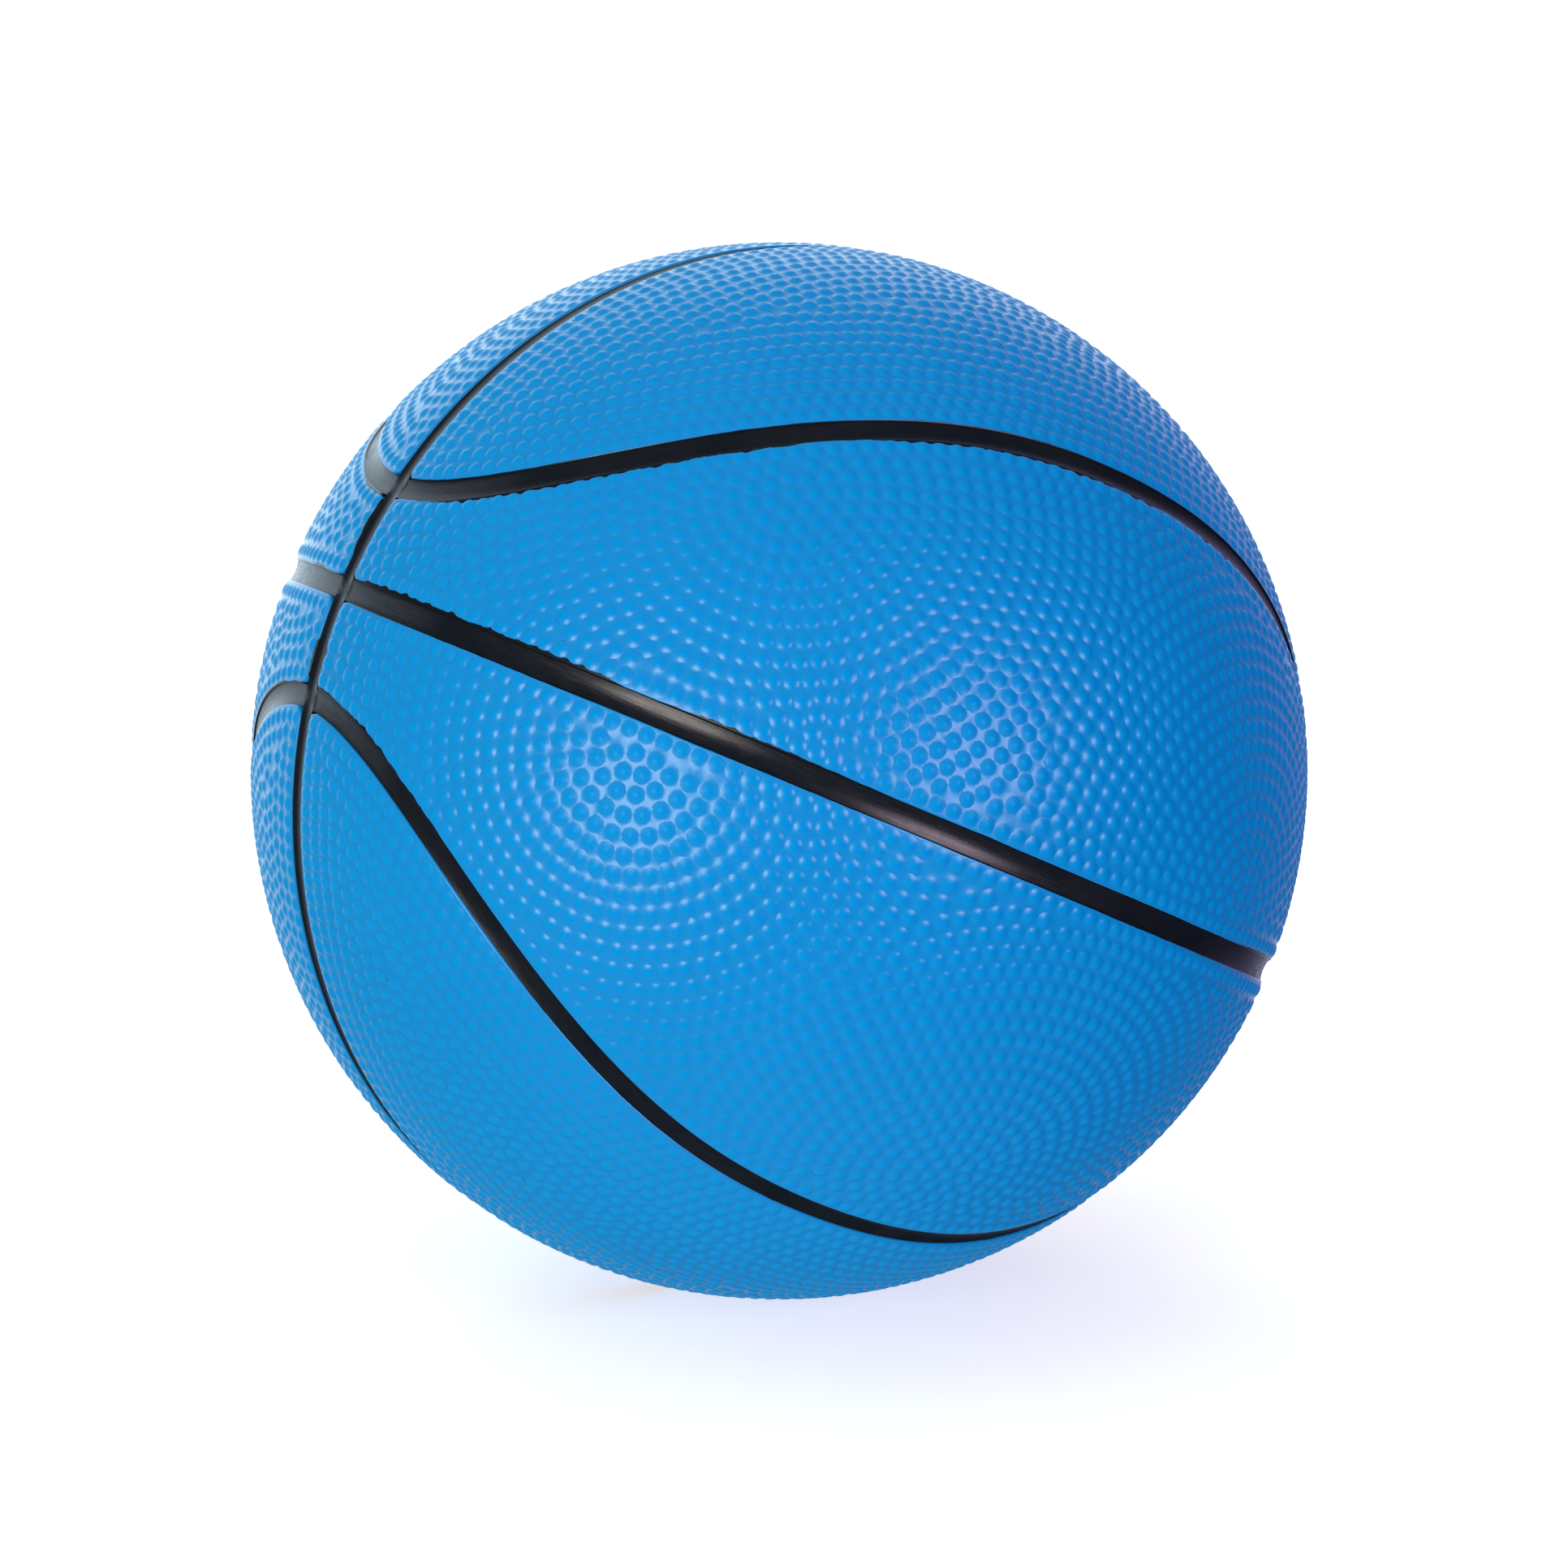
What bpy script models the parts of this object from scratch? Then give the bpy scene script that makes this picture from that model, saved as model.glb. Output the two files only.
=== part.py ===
"""Inflatable rubber play ball in a basketball's eight-panel layout.

From the inside out: a bladder with its needle valve, a thread winding, a
carcass, eight cover panels, and the black strips that line the channels
between them. The ball stands on z = 0 and is turned as it was photographed.
"""
import math

import bmesh
import bpy
import numpy as np
from mathutils import Matrix, Vector
from mathutils.geometry import delaunay_2d_cdt

# Driving dimensions, in metres

BALL_RADIUS = 0.0900
COVER_THICKNESS = 0.0015
CARCASS_THICKNESS = 0.0007
WINDING_THICKNESS = 0.0004
BLADDER_THICKNESS = 0.0007
LAYER_GAP = 0.0003

SEAM_WIDTH = 0.0043
SEAM_CLEARANCE = 0.0003
SEAM_LIP_DEPTH = 0.0007
SEAM_GROOVE_DEPTH = 0.0014
PANEL_RIM_RADIUS = 0.0006
PANEL_CORNER_RADIUS = 0.0018

VALVE_RECESS = 0.0008
VALVE_NECK_RADIUS = 0.0052
VALVE_FLANGE_RADIUS = 0.0135
VALVE_FLANGE_THICKNESS = 0.0012
VALVE_BARREL_RADIUS = 0.0060
VALVE_BARREL_LENGTH = 0.0125
VALVE_BARREL_ROUNDING = 0.0015
VALVE_FIT = 0.0003

CORE_HEAD_RADIUS = 0.0036
CORE_HEAD_THICKNESS = 0.0013
CORE_STEM_RADIUS = 0.0024
CORE_STEM_LENGTH = 0.0150
CORE_TIP_RADIUS = 0.0012
CORE_TIP_LENGTH = 0.0040
CORE_TIP_ROUNDING = 0.0005
NEEDLE_HOLE_RADIUS = 0.0008
NEEDLE_HOLE_DEPTH = 0.0120
NEEDLE_FUNNEL_RADIUS = 0.0017
NEEDLE_FUNNEL_DEPTH = 0.0011

# The seam layout, in degrees. The middle seam and the cross seam are great
# circles at right angles. Each side seam swings away from the middle seam.

SIDE_SEAM_AT_CROSSING = 11.7
SIDE_SEAM_MIDWAY = 32.7
SIDE_SEAM_AT_CROWN = 43.9
VALVE_LATITUDE = 22.0

# How the ball lies: turns of the seam layout about X, Y and Z, in degrees

LIE_X = 86.8
LIE_Y = -24.5
LIE_Z = -148.3

# Fineness of the facets

EDGE_STEP = 0.0090
CORNER_STEPS = 3
RIM_STEPS = 2
PANEL_SUBDIVISIONS = 4
SHELL_CUTS = 4
TURNED_STEPS = 32
FLANGE_STEPS = 3
RIM_MARGIN = 0.65
SHADING_ANGLE = 35.0

SIDES = {"upper": 1, "lower": -1}
ENDS = {"front": -1, "back": 1}


# Materials

def material(name, colour, roughness):
    """A plain rubber or yarn finish."""
    made = bpy.data.materials.new(name)
    made.use_nodes = True
    shader = made.node_tree.nodes["Principled BSDF"]
    shader.inputs["Base Color"].default_value = (*colour, 1.0)
    shader.inputs["Roughness"].default_value = roughness
    shader.inputs["Metallic"].default_value = 0.0
    made.diffuse_color = (*colour, 1.0)
    return made


# Small helpers

def unit(vector):
    """The vector at length one."""
    return np.asarray(vector, float) / np.linalg.norm(vector)


def steps_between(start, stop, step):
    """Even steps from start to stop, about one step long."""
    count = max(1, round(abs(stop - start) / step))
    return np.linspace(start, stop, count + 1)


def add_object(name, mesh, finish, parent):
    """A named object at its parent's place, shaded smooth between its sharp edges."""
    mesh.shade_smooth()
    mesh.set_sharp_from_angle(angle=math.radians(SHADING_ANGLE))
    made = bpy.data.objects.new(name, mesh)
    made.data.materials.append(finish)
    made.parent = parent
    bpy.context.collection.objects.link(made)
    return made


def mesh_from(bm, name):
    """A mesh from an edited one, with its faces pointing out."""
    bmesh.ops.recalc_face_normals(bm, faces=bm.faces[:])
    mesh = bpy.data.meshes.new(name)
    bm.to_mesh(mesh)
    bm.free()
    return mesh


def turned(name, profile, finish, parent):
    """A piece turned about its own Z axis from a profile of (radius, height) points.

    The profile runs down the outer side and back up the bore. It is closed
    unless both of its ends lie on the axis.
    """
    mesh = bpy.data.meshes.new(name)
    count = len(profile)
    edges = [(i, i + 1) for i in range(count - 1)]
    if profile[0][0] > 0.0 or profile[-1][0] > 0.0:
        edges.append((count - 1, 0))
    mesh.from_pydata([(radius, 0.0, height) for radius, height in profile], edges, [])
    made = add_object(name, mesh, finish, parent)
    screw = made.modifiers.new("turn", "SCREW")
    screw.steps = TURNED_STEPS
    screw.render_steps = TURNED_STEPS
    screw.use_merge_vertices = True
    screw.merge_threshold = 0.00001
    screw.use_smooth_shade = True
    return made


# The seam curves, as directions from the ball's centre

def side_seam_latitude(turn):
    """Latitude of the side seam above the middle seam, at a turn round the ball."""
    ends = (SIDE_SEAM_AT_CROSSING + SIDE_SEAM_AT_CROWN) / 4
    swing = (SIDE_SEAM_AT_CROSSING - SIDE_SEAM_AT_CROWN) / 2
    mean = ends + SIDE_SEAM_MIDWAY / 2
    bulge = ends - SIDE_SEAM_MIDWAY / 2
    return math.radians(mean + swing * math.cos(2 * turn) + bulge * math.cos(4 * turn))


def side_seam_point(turn):
    """A point on the upper side seam."""
    latitude = side_seam_latitude(turn)
    flat = math.cos(latitude)
    return np.array([flat * math.cos(turn), math.sin(latitude), flat * math.sin(turn)])


def side_seam_station(turn):
    """Direction of a side seam point, and the direction across the seam, away from the middle."""
    small = 0.001
    out = side_seam_point(turn)
    along = unit(side_seam_point(turn + small) - side_seam_point(turn - small))
    return out, unit(np.cross(along, out))


def middle_seam_station(turn):
    """Direction and across direction on the middle seam."""
    return np.array([math.cos(turn), 0.0, math.sin(turn)]), np.array([0.0, 1.0, 0.0])


def cross_seam_station(turn):
    """Direction and across direction on the cross seam."""
    return np.array([math.cos(turn), math.sin(turn), 0.0]), np.array([0.0, 0.0, 1.0])


def beside(station, angle):
    """The direction that lies an angle to one side of a seam station."""
    out, across = station
    return math.cos(angle) * out + math.sin(angle) * across


def turn_at_height(station, angle, height):
    """First turn at which a line beside a seam stands this high above the cross seam."""
    low, high = 0.0, math.pi / 2
    for _ in range(50):
        turn = (low + high) / 2
        if beside(station(turn), angle)[2] < height:
            low = turn
        else:
            high = turn
    return high


# Cover panels

def round_corner(before, corner, after):
    """Points of a quarter circle that cuts a square corner between two points."""
    angles = [i * math.pi / 2 / CORNER_STEPS for i in range(1, CORNER_STEPS)]
    return [
        unit(corner + (before - corner) * (1 - math.sin(a)) + (after - corner) * (1 - math.cos(a)))
        for a in angles
    ]


def closed_outline(edges, corners):
    """One outline from edges and the corners that follow them, with the corners rounded."""
    outline = []
    for i, edge in enumerate(edges):
        following = edges[(i + 1) % len(edges)]
        outline += edge + round_corner(edge[-1], corners[i], following[0])
    return np.array(outline)


def side_seam_edge(angle, start, trim):
    """Panel edge beside the side seam, from one end of the ball to the other, less its corners."""
    turns = steps_between(math.pi - start - trim, start + trim, EDGE_STEP / BALL_RADIUS)
    return [beside(side_seam_station(turn), angle) for turn in turns]


def middle_panel_outline():
    """Outline of the panel between the middle seam and the side seam, on the back upper side."""
    gap = SEAM_WIDTH / 2 / BALL_RADIUS
    round_off = PANEL_CORNER_RADIUS / BALL_RADIUS
    step = EDGE_STEP / BALL_RADIUS
    low_turn = turn_at_height(middle_seam_station, gap, math.sin(gap))
    high_turn = turn_at_height(side_seam_station, -gap, math.sin(gap))
    low_corner = beside(middle_seam_station(low_turn), gap)
    high_corner = beside(side_seam_station(high_turn), -gap)
    flip = np.array([-1.0, 1.0, 1.0])
    turns = steps_between(low_turn + round_off, math.pi - low_turn - round_off, step)
    along_middle = [beside(middle_seam_station(turn), gap) for turn in turns]
    low, high = (math.atan2(corner[1], corner[0]) for corner in (low_corner, high_corner))
    turns = steps_between(low + round_off, high - round_off, step)
    beside_cross = [beside(cross_seam_station(turn), gap) for turn in turns]
    trim = round_off / math.cos(high)
    edges = [
        along_middle,
        [point * flip for point in beside_cross],
        side_seam_edge(-gap, high_turn, trim),
        beside_cross[::-1],
    ]
    corners = [low_corner * flip, high_corner * flip, high_corner, low_corner]
    return closed_outline(edges, corners)


def end_panel_outline():
    """Outline of the panel inside the side seam, on the back upper side."""
    gap = SEAM_WIDTH / 2 / BALL_RADIUS
    round_off = PANEL_CORNER_RADIUS / BALL_RADIUS
    start = turn_at_height(side_seam_station, gap, math.sin(gap))
    corner = beside(side_seam_station(start), gap)
    first = math.atan2(corner[1], corner[0])
    turns = steps_between(first + round_off, math.pi - first - round_off, EDGE_STEP / BALL_RADIUS)
    over_end = [beside(cross_seam_station(turn), gap) for turn in turns]
    trim = round_off / math.cos(first)
    edges = [over_end, side_seam_edge(gap, start, trim)]
    return closed_outline(edges, [corner * [-1.0, 1.0, 1.0], corner])


def sphere_points():
    """Evenly spread directions for the inside of a panel."""
    bm = bmesh.new()
    bmesh.ops.create_icosphere(bm, subdivisions=PANEL_SUBDIVISIONS, radius=1.0)
    points = np.array([vert.co[:] for vert in bm.verts])
    bm.free()
    return points


def fill_outline(outline):
    """Directions and triangles that fill an outline on the sphere.

    The outline is laid flat by a projection that keeps circles round, so that
    triangles which are well shaped in the flat are well shaped on the ball.
    """
    middle = unit(outline.mean(axis=0))
    right = unit(np.cross([1.0, 0.0, 0.0], middle))
    ahead = np.cross(middle, right)
    spread = sphere_points()
    spacing = math.sqrt(4 * math.pi / len(spread))
    nearest = np.linalg.norm(spread[:, None] - outline[None], axis=2).min(axis=1)
    near_side = spread @ middle > -0.5
    points = np.vstack([outline, spread[near_side & (nearest > RIM_MARGIN * spacing)]])
    scale = 2.0 / (1.0 + points @ middle)
    flat = [Vector((p @ right * s, p @ ahead * s)) for p, s in zip(points, scale)]
    rim = list(range(len(outline)))
    filled, _, faces, *_ = delaunay_2d_cdt(flat, [], [rim], 1, 1e-6)
    used = sorted({index for face in faces for index in face})
    place = {index: row for row, index in enumerate(used)}
    directions = []
    for index in used:
        u, v = filled[index]
        size = u * u + v * v
        directions.append(unit((right * u + ahead * v) * 4.0 + middle * (4.0 - size)))
    return np.array(directions), [[place[index] for index in face] for face in faces]


def panel(name, filled, signs, finish, parent):
    """A cover panel: a curved sheet with a rolled outer rim."""
    directions, triangles = filled
    bm = bmesh.new()
    verts = [bm.verts.new(point * BALL_RADIUS) for point in directions * signs]
    for triangle in triangles:
        bm.faces.new([verts[index] for index in triangle])
    sheet = bmesh.ops.extrude_face_region(bm, geom=bm.faces[:])["geom"]
    inner = [item for item in sheet if isinstance(item, bmesh.types.BMVert)]
    shrink = 1.0 - COVER_THICKNESS / BALL_RADIUS
    bmesh.ops.scale(bm, vec=(shrink, shrink, shrink), verts=inner)
    bmesh.ops.recalc_face_normals(bm, faces=bm.faces[:])
    outside = BALL_RADIUS - COVER_THICKNESS / 2
    rim = [
        edge for edge in bm.edges
        if edge.calc_face_angle(0.0) > math.pi / 4
        and all(vert.co.length > outside for vert in edge.verts)
    ]
    bmesh.ops.bevel(
        bm, geom=rim, offset=PANEL_RIM_RADIUS, offset_type="OFFSET",
        segments=RIM_STEPS, profile=0.5, affect="EDGES",
    )
    return add_object(name, mesh_from(bm, name), finish, parent)


def cover_floor(filled):
    """Least distance of a panel's inner facets from the ball's centre."""
    directions, triangles = filled
    corners = directions[np.array(triangles)] * (BALL_RADIUS - COVER_THICKNESS)
    normals = np.cross(corners[:, 1] - corners[:, 0], corners[:, 2] - corners[:, 0])
    normals /= np.linalg.norm(normals, axis=1)[:, None]
    return np.abs((corners[:, 0] * normals).sum(axis=1)).min()


# Seam strips

def strip_profile(base):
    """Section of a seam strip as (offset across, radius): a flat base and a hollowed top."""
    half = SEAM_WIDTH / 2 - SEAM_CLEARANCE
    lip = BALL_RADIUS - SEAM_LIP_DEPTH
    groove = BALL_RADIUS - SEAM_GROOVE_DEPTH
    hollow = [1.0, 0.5, 0.0, -0.5, -1.0]
    top = [(half * share, groove + (lip - groove) * share ** 2) for share in hollow]
    return [(-half, base), (half, base)] + top


def strip(name, stations, closed, base, finish, parent):
    """A strip swept along seam stations, ended square or closed into a ring."""
    bm = bmesh.new()
    rings = []
    for station in stations:
        ring = [
            bm.verts.new(beside(station, offset / BALL_RADIUS) * radius)
            for offset, radius in strip_profile(base)
        ]
        rings.append(ring)
    count = len(rings[0])
    pairs = list(zip(rings, rings[1:]))
    if closed:
        pairs.append((rings[-1], rings[0]))
    for ring, following in pairs:
        for i in range(count):
            j = (i + 1) % count
            bm.faces.new([ring[i], ring[j], following[j], following[i]])
    if not closed:
        bm.faces.new(rings[0])
        bm.faces.new(rings[-1])
    bmesh.ops.triangulate(bm, faces=bm.faces[:])
    return add_object(name, mesh_from(bm, name), finish, parent)


def mirrored(stations, signs):
    """Stations carried over to another quarter of the ball."""
    return [(out * signs, across * signs) for out, across in stations]


def seam_strips(carcass_radius, finish, parent):
    """The ring along the cross seam, and the halves of the other seams that stop beside it."""
    step = EDGE_STEP / BALL_RADIUS
    dip = EDGE_STEP ** 2 / (8 * BALL_RADIUS)
    base = carcass_radius + LAYER_GAP + dip
    ring = [cross_seam_station(turn) for turn in steps_between(0, 2 * math.pi, step)[:-1]]
    strip("cross_seam", ring, True, base, finish, parent)
    stop = math.sin((SEAM_WIDTH / 2) / BALL_RADIUS)
    start = turn_at_height(middle_seam_station, 0.0, stop)
    middle = [middle_seam_station(turn) for turn in steps_between(start, math.pi - start, step)]
    start = turn_at_height(side_seam_station, 0.0, stop)
    side = [side_seam_station(turn) for turn in steps_between(start, math.pi - start, step)]
    for end, z_sign in ENDS.items():
        signs = np.array([1.0, 1.0, z_sign])
        strip(f"middle_seam_{end}", mirrored(middle, signs), False, base, finish, parent)
        for which, y_sign in SIDES.items():
            signs = np.array([1.0, y_sign, z_sign])
            strip(f"side_seam_{which}_{end}", mirrored(side, signs), False, base, finish, parent)


# Inner layers

def even_ball(radius):
    """A ball of even triangles, with one of its corners on the valve's axis."""
    bm = bmesh.new()
    bmesh.ops.create_icosphere(bm, subdivisions=1, radius=radius)
    bmesh.ops.subdivide_edges(bm, edges=bm.edges[:], cuts=SHELL_CUTS, use_grid_fill=True)
    for vert in bm.verts:
        vert.co = vert.co.normalized() * radius
    bm.normal_update()
    return bm


def shell(name, outer_radius, thickness, hole, finish, parent):
    """A thin hollow ball with the valve's hole through its wall."""
    made = add_object(name, mesh_from(even_ball(outer_radius), name), finish, parent)
    wall = made.modifiers.new("wall", "SOLIDIFY")
    wall.thickness = thickness
    wall.offset = -1.0
    cut_hole(made, hole)
    return made


def shell_floor(radius):
    """Least distance from the ball's centre to the facets of a shell's wall at a radius."""
    bm = even_ball(radius)
    least = min(abs(face.normal.dot(face.verts[0].co)) for face in bm.faces)
    bm.free()
    return least


def cut_hole(made, hole):
    """Cut the valve's hole through a layer."""
    cut = made.modifiers.new("valve_hole", "BOOLEAN")
    cut.operation = "DIFFERENCE"
    cut.solver = "EXACT"
    cut.object = hole


def valve_hole(parent):
    """Guide solid that cuts the valve's hole through every layer."""
    bm = bmesh.new()
    bmesh.ops.create_cone(
        bm, cap_ends=True, segments=TURNED_STEPS, radius1=VALVE_NECK_RADIUS + VALVE_FIT,
        radius2=VALVE_NECK_RADIUS + VALVE_FIT, depth=BALL_RADIUS,
        matrix=Matrix.Translation((0.0, 0.0, BALL_RADIUS)),
    )
    mesh = bpy.data.meshes.new("valve_hole")
    bm.to_mesh(mesh)
    bm.free()
    made = bpy.data.objects.new("valve_hole", mesh)
    made.parent = parent
    made.hide_render = True
    made.display_type = "WIRE"
    bpy.context.collection.objects.link(made)
    return made


# Valve

def rounded_foot(radius, foot, rounding):
    """Profile points that round a turned piece's lower edge, from its side to its foot."""
    angles = [i * math.pi / 2 / CORNER_STEPS for i in range(CORNER_STEPS + 1)]
    return [
        (radius - rounding * (1 - math.cos(a)), foot + rounding * (1 - math.sin(a)))
        for a in angles
    ]


def valve_housing(seat_radius, finish, parent):
    """Rubber bush moulded to the bladder: a neck through the layers, a flange and a barrel."""
    face = BALL_RADIUS - VALVE_RECESS
    counterbore = face - CORE_HEAD_THICKNESS - VALVE_FIT
    radii = np.linspace(VALVE_NECK_RADIUS, VALVE_FLANGE_RADIUS, FLANGE_STEPS + 1)
    over = [(radius, math.sqrt(seat_radius ** 2 - radius ** 2)) for radius in radii]
    under_radius = seat_radius - VALVE_FLANGE_THICKNESS
    radii = np.linspace(VALVE_FLANGE_RADIUS, VALVE_BARREL_RADIUS, FLANGE_STEPS + 1)
    under = [(radius, math.sqrt(under_radius ** 2 - radius ** 2)) for radius in radii]
    foot = under[-1][1] - VALVE_BARREL_LENGTH
    barrel = rounded_foot(VALVE_BARREL_RADIUS, foot, VALVE_BARREL_ROUNDING)
    bore = [
        (CORE_STEM_RADIUS + VALVE_FIT, foot),
        (CORE_STEM_RADIUS + VALVE_FIT, counterbore),
        (CORE_HEAD_RADIUS + VALVE_FIT, counterbore),
        (CORE_HEAD_RADIUS + VALVE_FIT, face),
    ]
    neck = [(VALVE_NECK_RADIUS, face)]
    return turned("valve_housing", neck + over + under + barrel + bore, finish, parent)


def valve_core(finish, parent):
    """Soft plug that seals the valve, with the hole that the inflating needle enters."""
    face = BALL_RADIUS - VALVE_RECESS
    shoulder = face - CORE_HEAD_THICKNESS
    stem_end = shoulder - CORE_STEM_LENGTH
    tip = stem_end - CORE_TIP_LENGTH
    outside = [
        (CORE_HEAD_RADIUS, face),
        (CORE_HEAD_RADIUS, shoulder),
        (CORE_STEM_RADIUS, shoulder),
        (CORE_STEM_RADIUS, stem_end),
        *rounded_foot(CORE_TIP_RADIUS, tip, CORE_TIP_ROUNDING),
        (0.0, tip),
    ]
    hole = [
        (0.0, face - NEEDLE_HOLE_DEPTH),
        (NEEDLE_HOLE_RADIUS, face - NEEDLE_HOLE_DEPTH),
        (NEEDLE_HOLE_RADIUS, face - NEEDLE_FUNNEL_DEPTH),
        (NEEDLE_FUNNEL_RADIUS, face),
    ]
    return turned("valve_core", hole + outside, finish, parent)


# Assembly

def clear_scene():
    """Start from an empty scene."""
    for item in list(bpy.data.objects):
        bpy.data.objects.remove(item, do_unlink=True)


def add_empty(name, parent=None):
    """A frame to hang pieces on."""
    made = bpy.data.objects.new(name, None)
    made.parent = parent
    bpy.context.collection.objects.link(made)
    return made


def build():
    """Model the ball's pieces and put them together."""
    clear_scene()
    blue = material("cover_rubber", (0.0, 0.26, 0.66), 0.30)
    black = material("seam_rubber", (0.012, 0.012, 0.013), 0.28)
    grey = material("carcass_rubber", (0.05, 0.05, 0.05), 0.70)
    yarn = material("winding_yarn", (0.72, 0.68, 0.58), 0.85)
    butyl = material("bladder_rubber", (0.025, 0.025, 0.028), 0.55)
    bush = material("valve_rubber", (0.03, 0.03, 0.032), 0.50)
    plug = material("valve_core_rubber", (0.10, 0.10, 0.105), 0.45)

    centre = add_empty("ball_centre")
    centre.location = (0.0, 0.0, BALL_RADIUS)
    centre.rotation_euler = [math.radians(turn) for turn in (LIE_X, LIE_Y, LIE_Z)]
    valve_axis = add_empty("valve_axis", centre)
    valve_axis.rotation_euler = (math.radians(-VALVE_LATITUDE), 0.0, 0.0)
    hole = valve_hole(valve_axis)

    middle = fill_outline(middle_panel_outline())
    end = fill_outline(end_panel_outline())
    for which, y_sign in SIDES.items():
        for place, z_sign in ENDS.items():
            signs = np.array([1.0, y_sign, z_sign])
            inner = panel(f"middle_panel_{which}_{place}", middle, signs, blue, centre)
            panel(f"end_panel_{which}_{place}", end, signs, blue, centre)
            if y_sign > 0 and z_sign > 0:
                cut_hole(inner, hole)

    carcass_radius = min(cover_floor(middle), cover_floor(end)) - LAYER_GAP
    winding_radius = carcass_radius - CARCASS_THICKNESS - LAYER_GAP
    bladder_radius = winding_radius - WINDING_THICKNESS - LAYER_GAP
    shell("carcass", carcass_radius, CARCASS_THICKNESS, hole, grey, valve_axis)
    shell("thread_winding", winding_radius, WINDING_THICKNESS, hole, yarn, valve_axis)
    shell("bladder", bladder_radius, BLADDER_THICKNESS, hole, butyl, valve_axis)
    seam_strips(carcass_radius, black, centre)

    seat_radius = shell_floor(bladder_radius - BLADDER_THICKNESS) - LAYER_GAP
    valve_housing(seat_radius, bush, valve_axis)
    valve_core(plug, valve_axis)


build()
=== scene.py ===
# %% [markdown]
# # A pebbled rubber play ball
# The ball has a basketball's eight blue panels, covered in small round pebbles,
# with glossy black channels between them. Its solid pieces are made already and
# have their real size and place, so they are loaded first as a fixed frame. Each
# piece that shows is then modelled finer in the same place and takes its solid's
# part in the picture. Starting from the frame means that nothing is fitted later.

# %% Load the solid pieces
import math
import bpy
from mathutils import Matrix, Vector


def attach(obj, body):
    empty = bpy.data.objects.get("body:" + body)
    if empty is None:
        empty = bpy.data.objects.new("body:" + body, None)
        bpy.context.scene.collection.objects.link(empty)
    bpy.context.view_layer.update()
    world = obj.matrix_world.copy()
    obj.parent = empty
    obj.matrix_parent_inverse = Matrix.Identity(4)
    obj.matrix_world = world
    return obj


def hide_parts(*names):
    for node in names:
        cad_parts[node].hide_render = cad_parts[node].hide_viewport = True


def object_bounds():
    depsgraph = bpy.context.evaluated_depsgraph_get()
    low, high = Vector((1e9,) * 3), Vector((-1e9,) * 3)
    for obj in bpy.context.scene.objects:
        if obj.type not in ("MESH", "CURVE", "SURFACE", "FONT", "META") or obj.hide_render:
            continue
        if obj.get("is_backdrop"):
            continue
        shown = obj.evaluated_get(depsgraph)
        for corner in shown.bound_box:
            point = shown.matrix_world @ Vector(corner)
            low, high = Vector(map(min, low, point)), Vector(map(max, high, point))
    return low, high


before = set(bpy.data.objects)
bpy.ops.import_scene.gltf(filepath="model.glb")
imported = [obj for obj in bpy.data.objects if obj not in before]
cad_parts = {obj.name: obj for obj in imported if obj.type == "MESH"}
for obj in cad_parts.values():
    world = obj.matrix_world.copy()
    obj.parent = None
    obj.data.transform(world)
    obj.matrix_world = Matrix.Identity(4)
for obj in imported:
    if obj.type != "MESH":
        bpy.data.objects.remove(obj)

from types import SimpleNamespace

import bpy
import numpy as np
from mathutils import Euler, Matrix, Vector
from mathutils.geometry import delaunay_2d_cdt

cad_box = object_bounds()
bpy.ops.object.select_all(action="DESELECT")


def rounded(box):
    """A box's two corners in metres, to a tenth of a millimetre."""
    return [[round(number, 4) for number in corner] for corner in box]


print("solid pieces:", len(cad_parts))
print("their box:", rounded(cad_box))

# %% [markdown]
# ## Where the ball lies
# Every seam is a curve on one sphere. Such curves are simplest as directions from
# the ball's centre, in axes of their own: the cross seam lies in the plane z = 0,
# the middle seam in the plane y = 0, and a side seam runs round each end of the
# y axis. Three turns then lay this layout down as it was photographed. Working
# with whole arrays of directions keeps the later steps short and quick.

# %% Place the seam axes
BALL_RADIUS = 0.0900
LIE_TURNS = (86.8, -24.5, -148.3)
MM = 0.001

centre = np.array([0.0, 0.0, BALL_RADIUS])
lie = np.array(Euler([math.radians(turn) for turn in LIE_TURNS]).to_matrix())


def unit(vectors):
    """Vectors brought to length one."""
    return vectors / np.linalg.norm(vectors, axis=-1, keepdims=True)


def in_frame(directions, distances):
    """Points in the frame, from seam-axis directions and distances from the centre."""
    return centre + (directions * distances[:, None]) @ lie.T


print("cross seam faces", np.round(lie[:, 2], 3), "in the frame")

# %% [markdown]
# ## Camera
# A ball's outline is the same from every height, so the photograph fixes only how
# far away the camera stood, by how strongly the seams bend, and its lens, by how
# wide the ball is in the picture. A camera is added there, aimed at the ball's
# centre. The small shift puts the ball where it is in the frame without tilting
# the view, which turning the camera would do.

# %% Set up the camera
PHOTO_PIXELS = 1932
BALL_PIXEL_X = 959.9
BALL_PIXEL_Y = 949.8
FOCAL_PIXELS = 4601
SENSOR_WIDTH = 36.0
VIEW_DISTANCE = 0.6417
VIEW_ELEVATION = math.radians(10.0)

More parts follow.
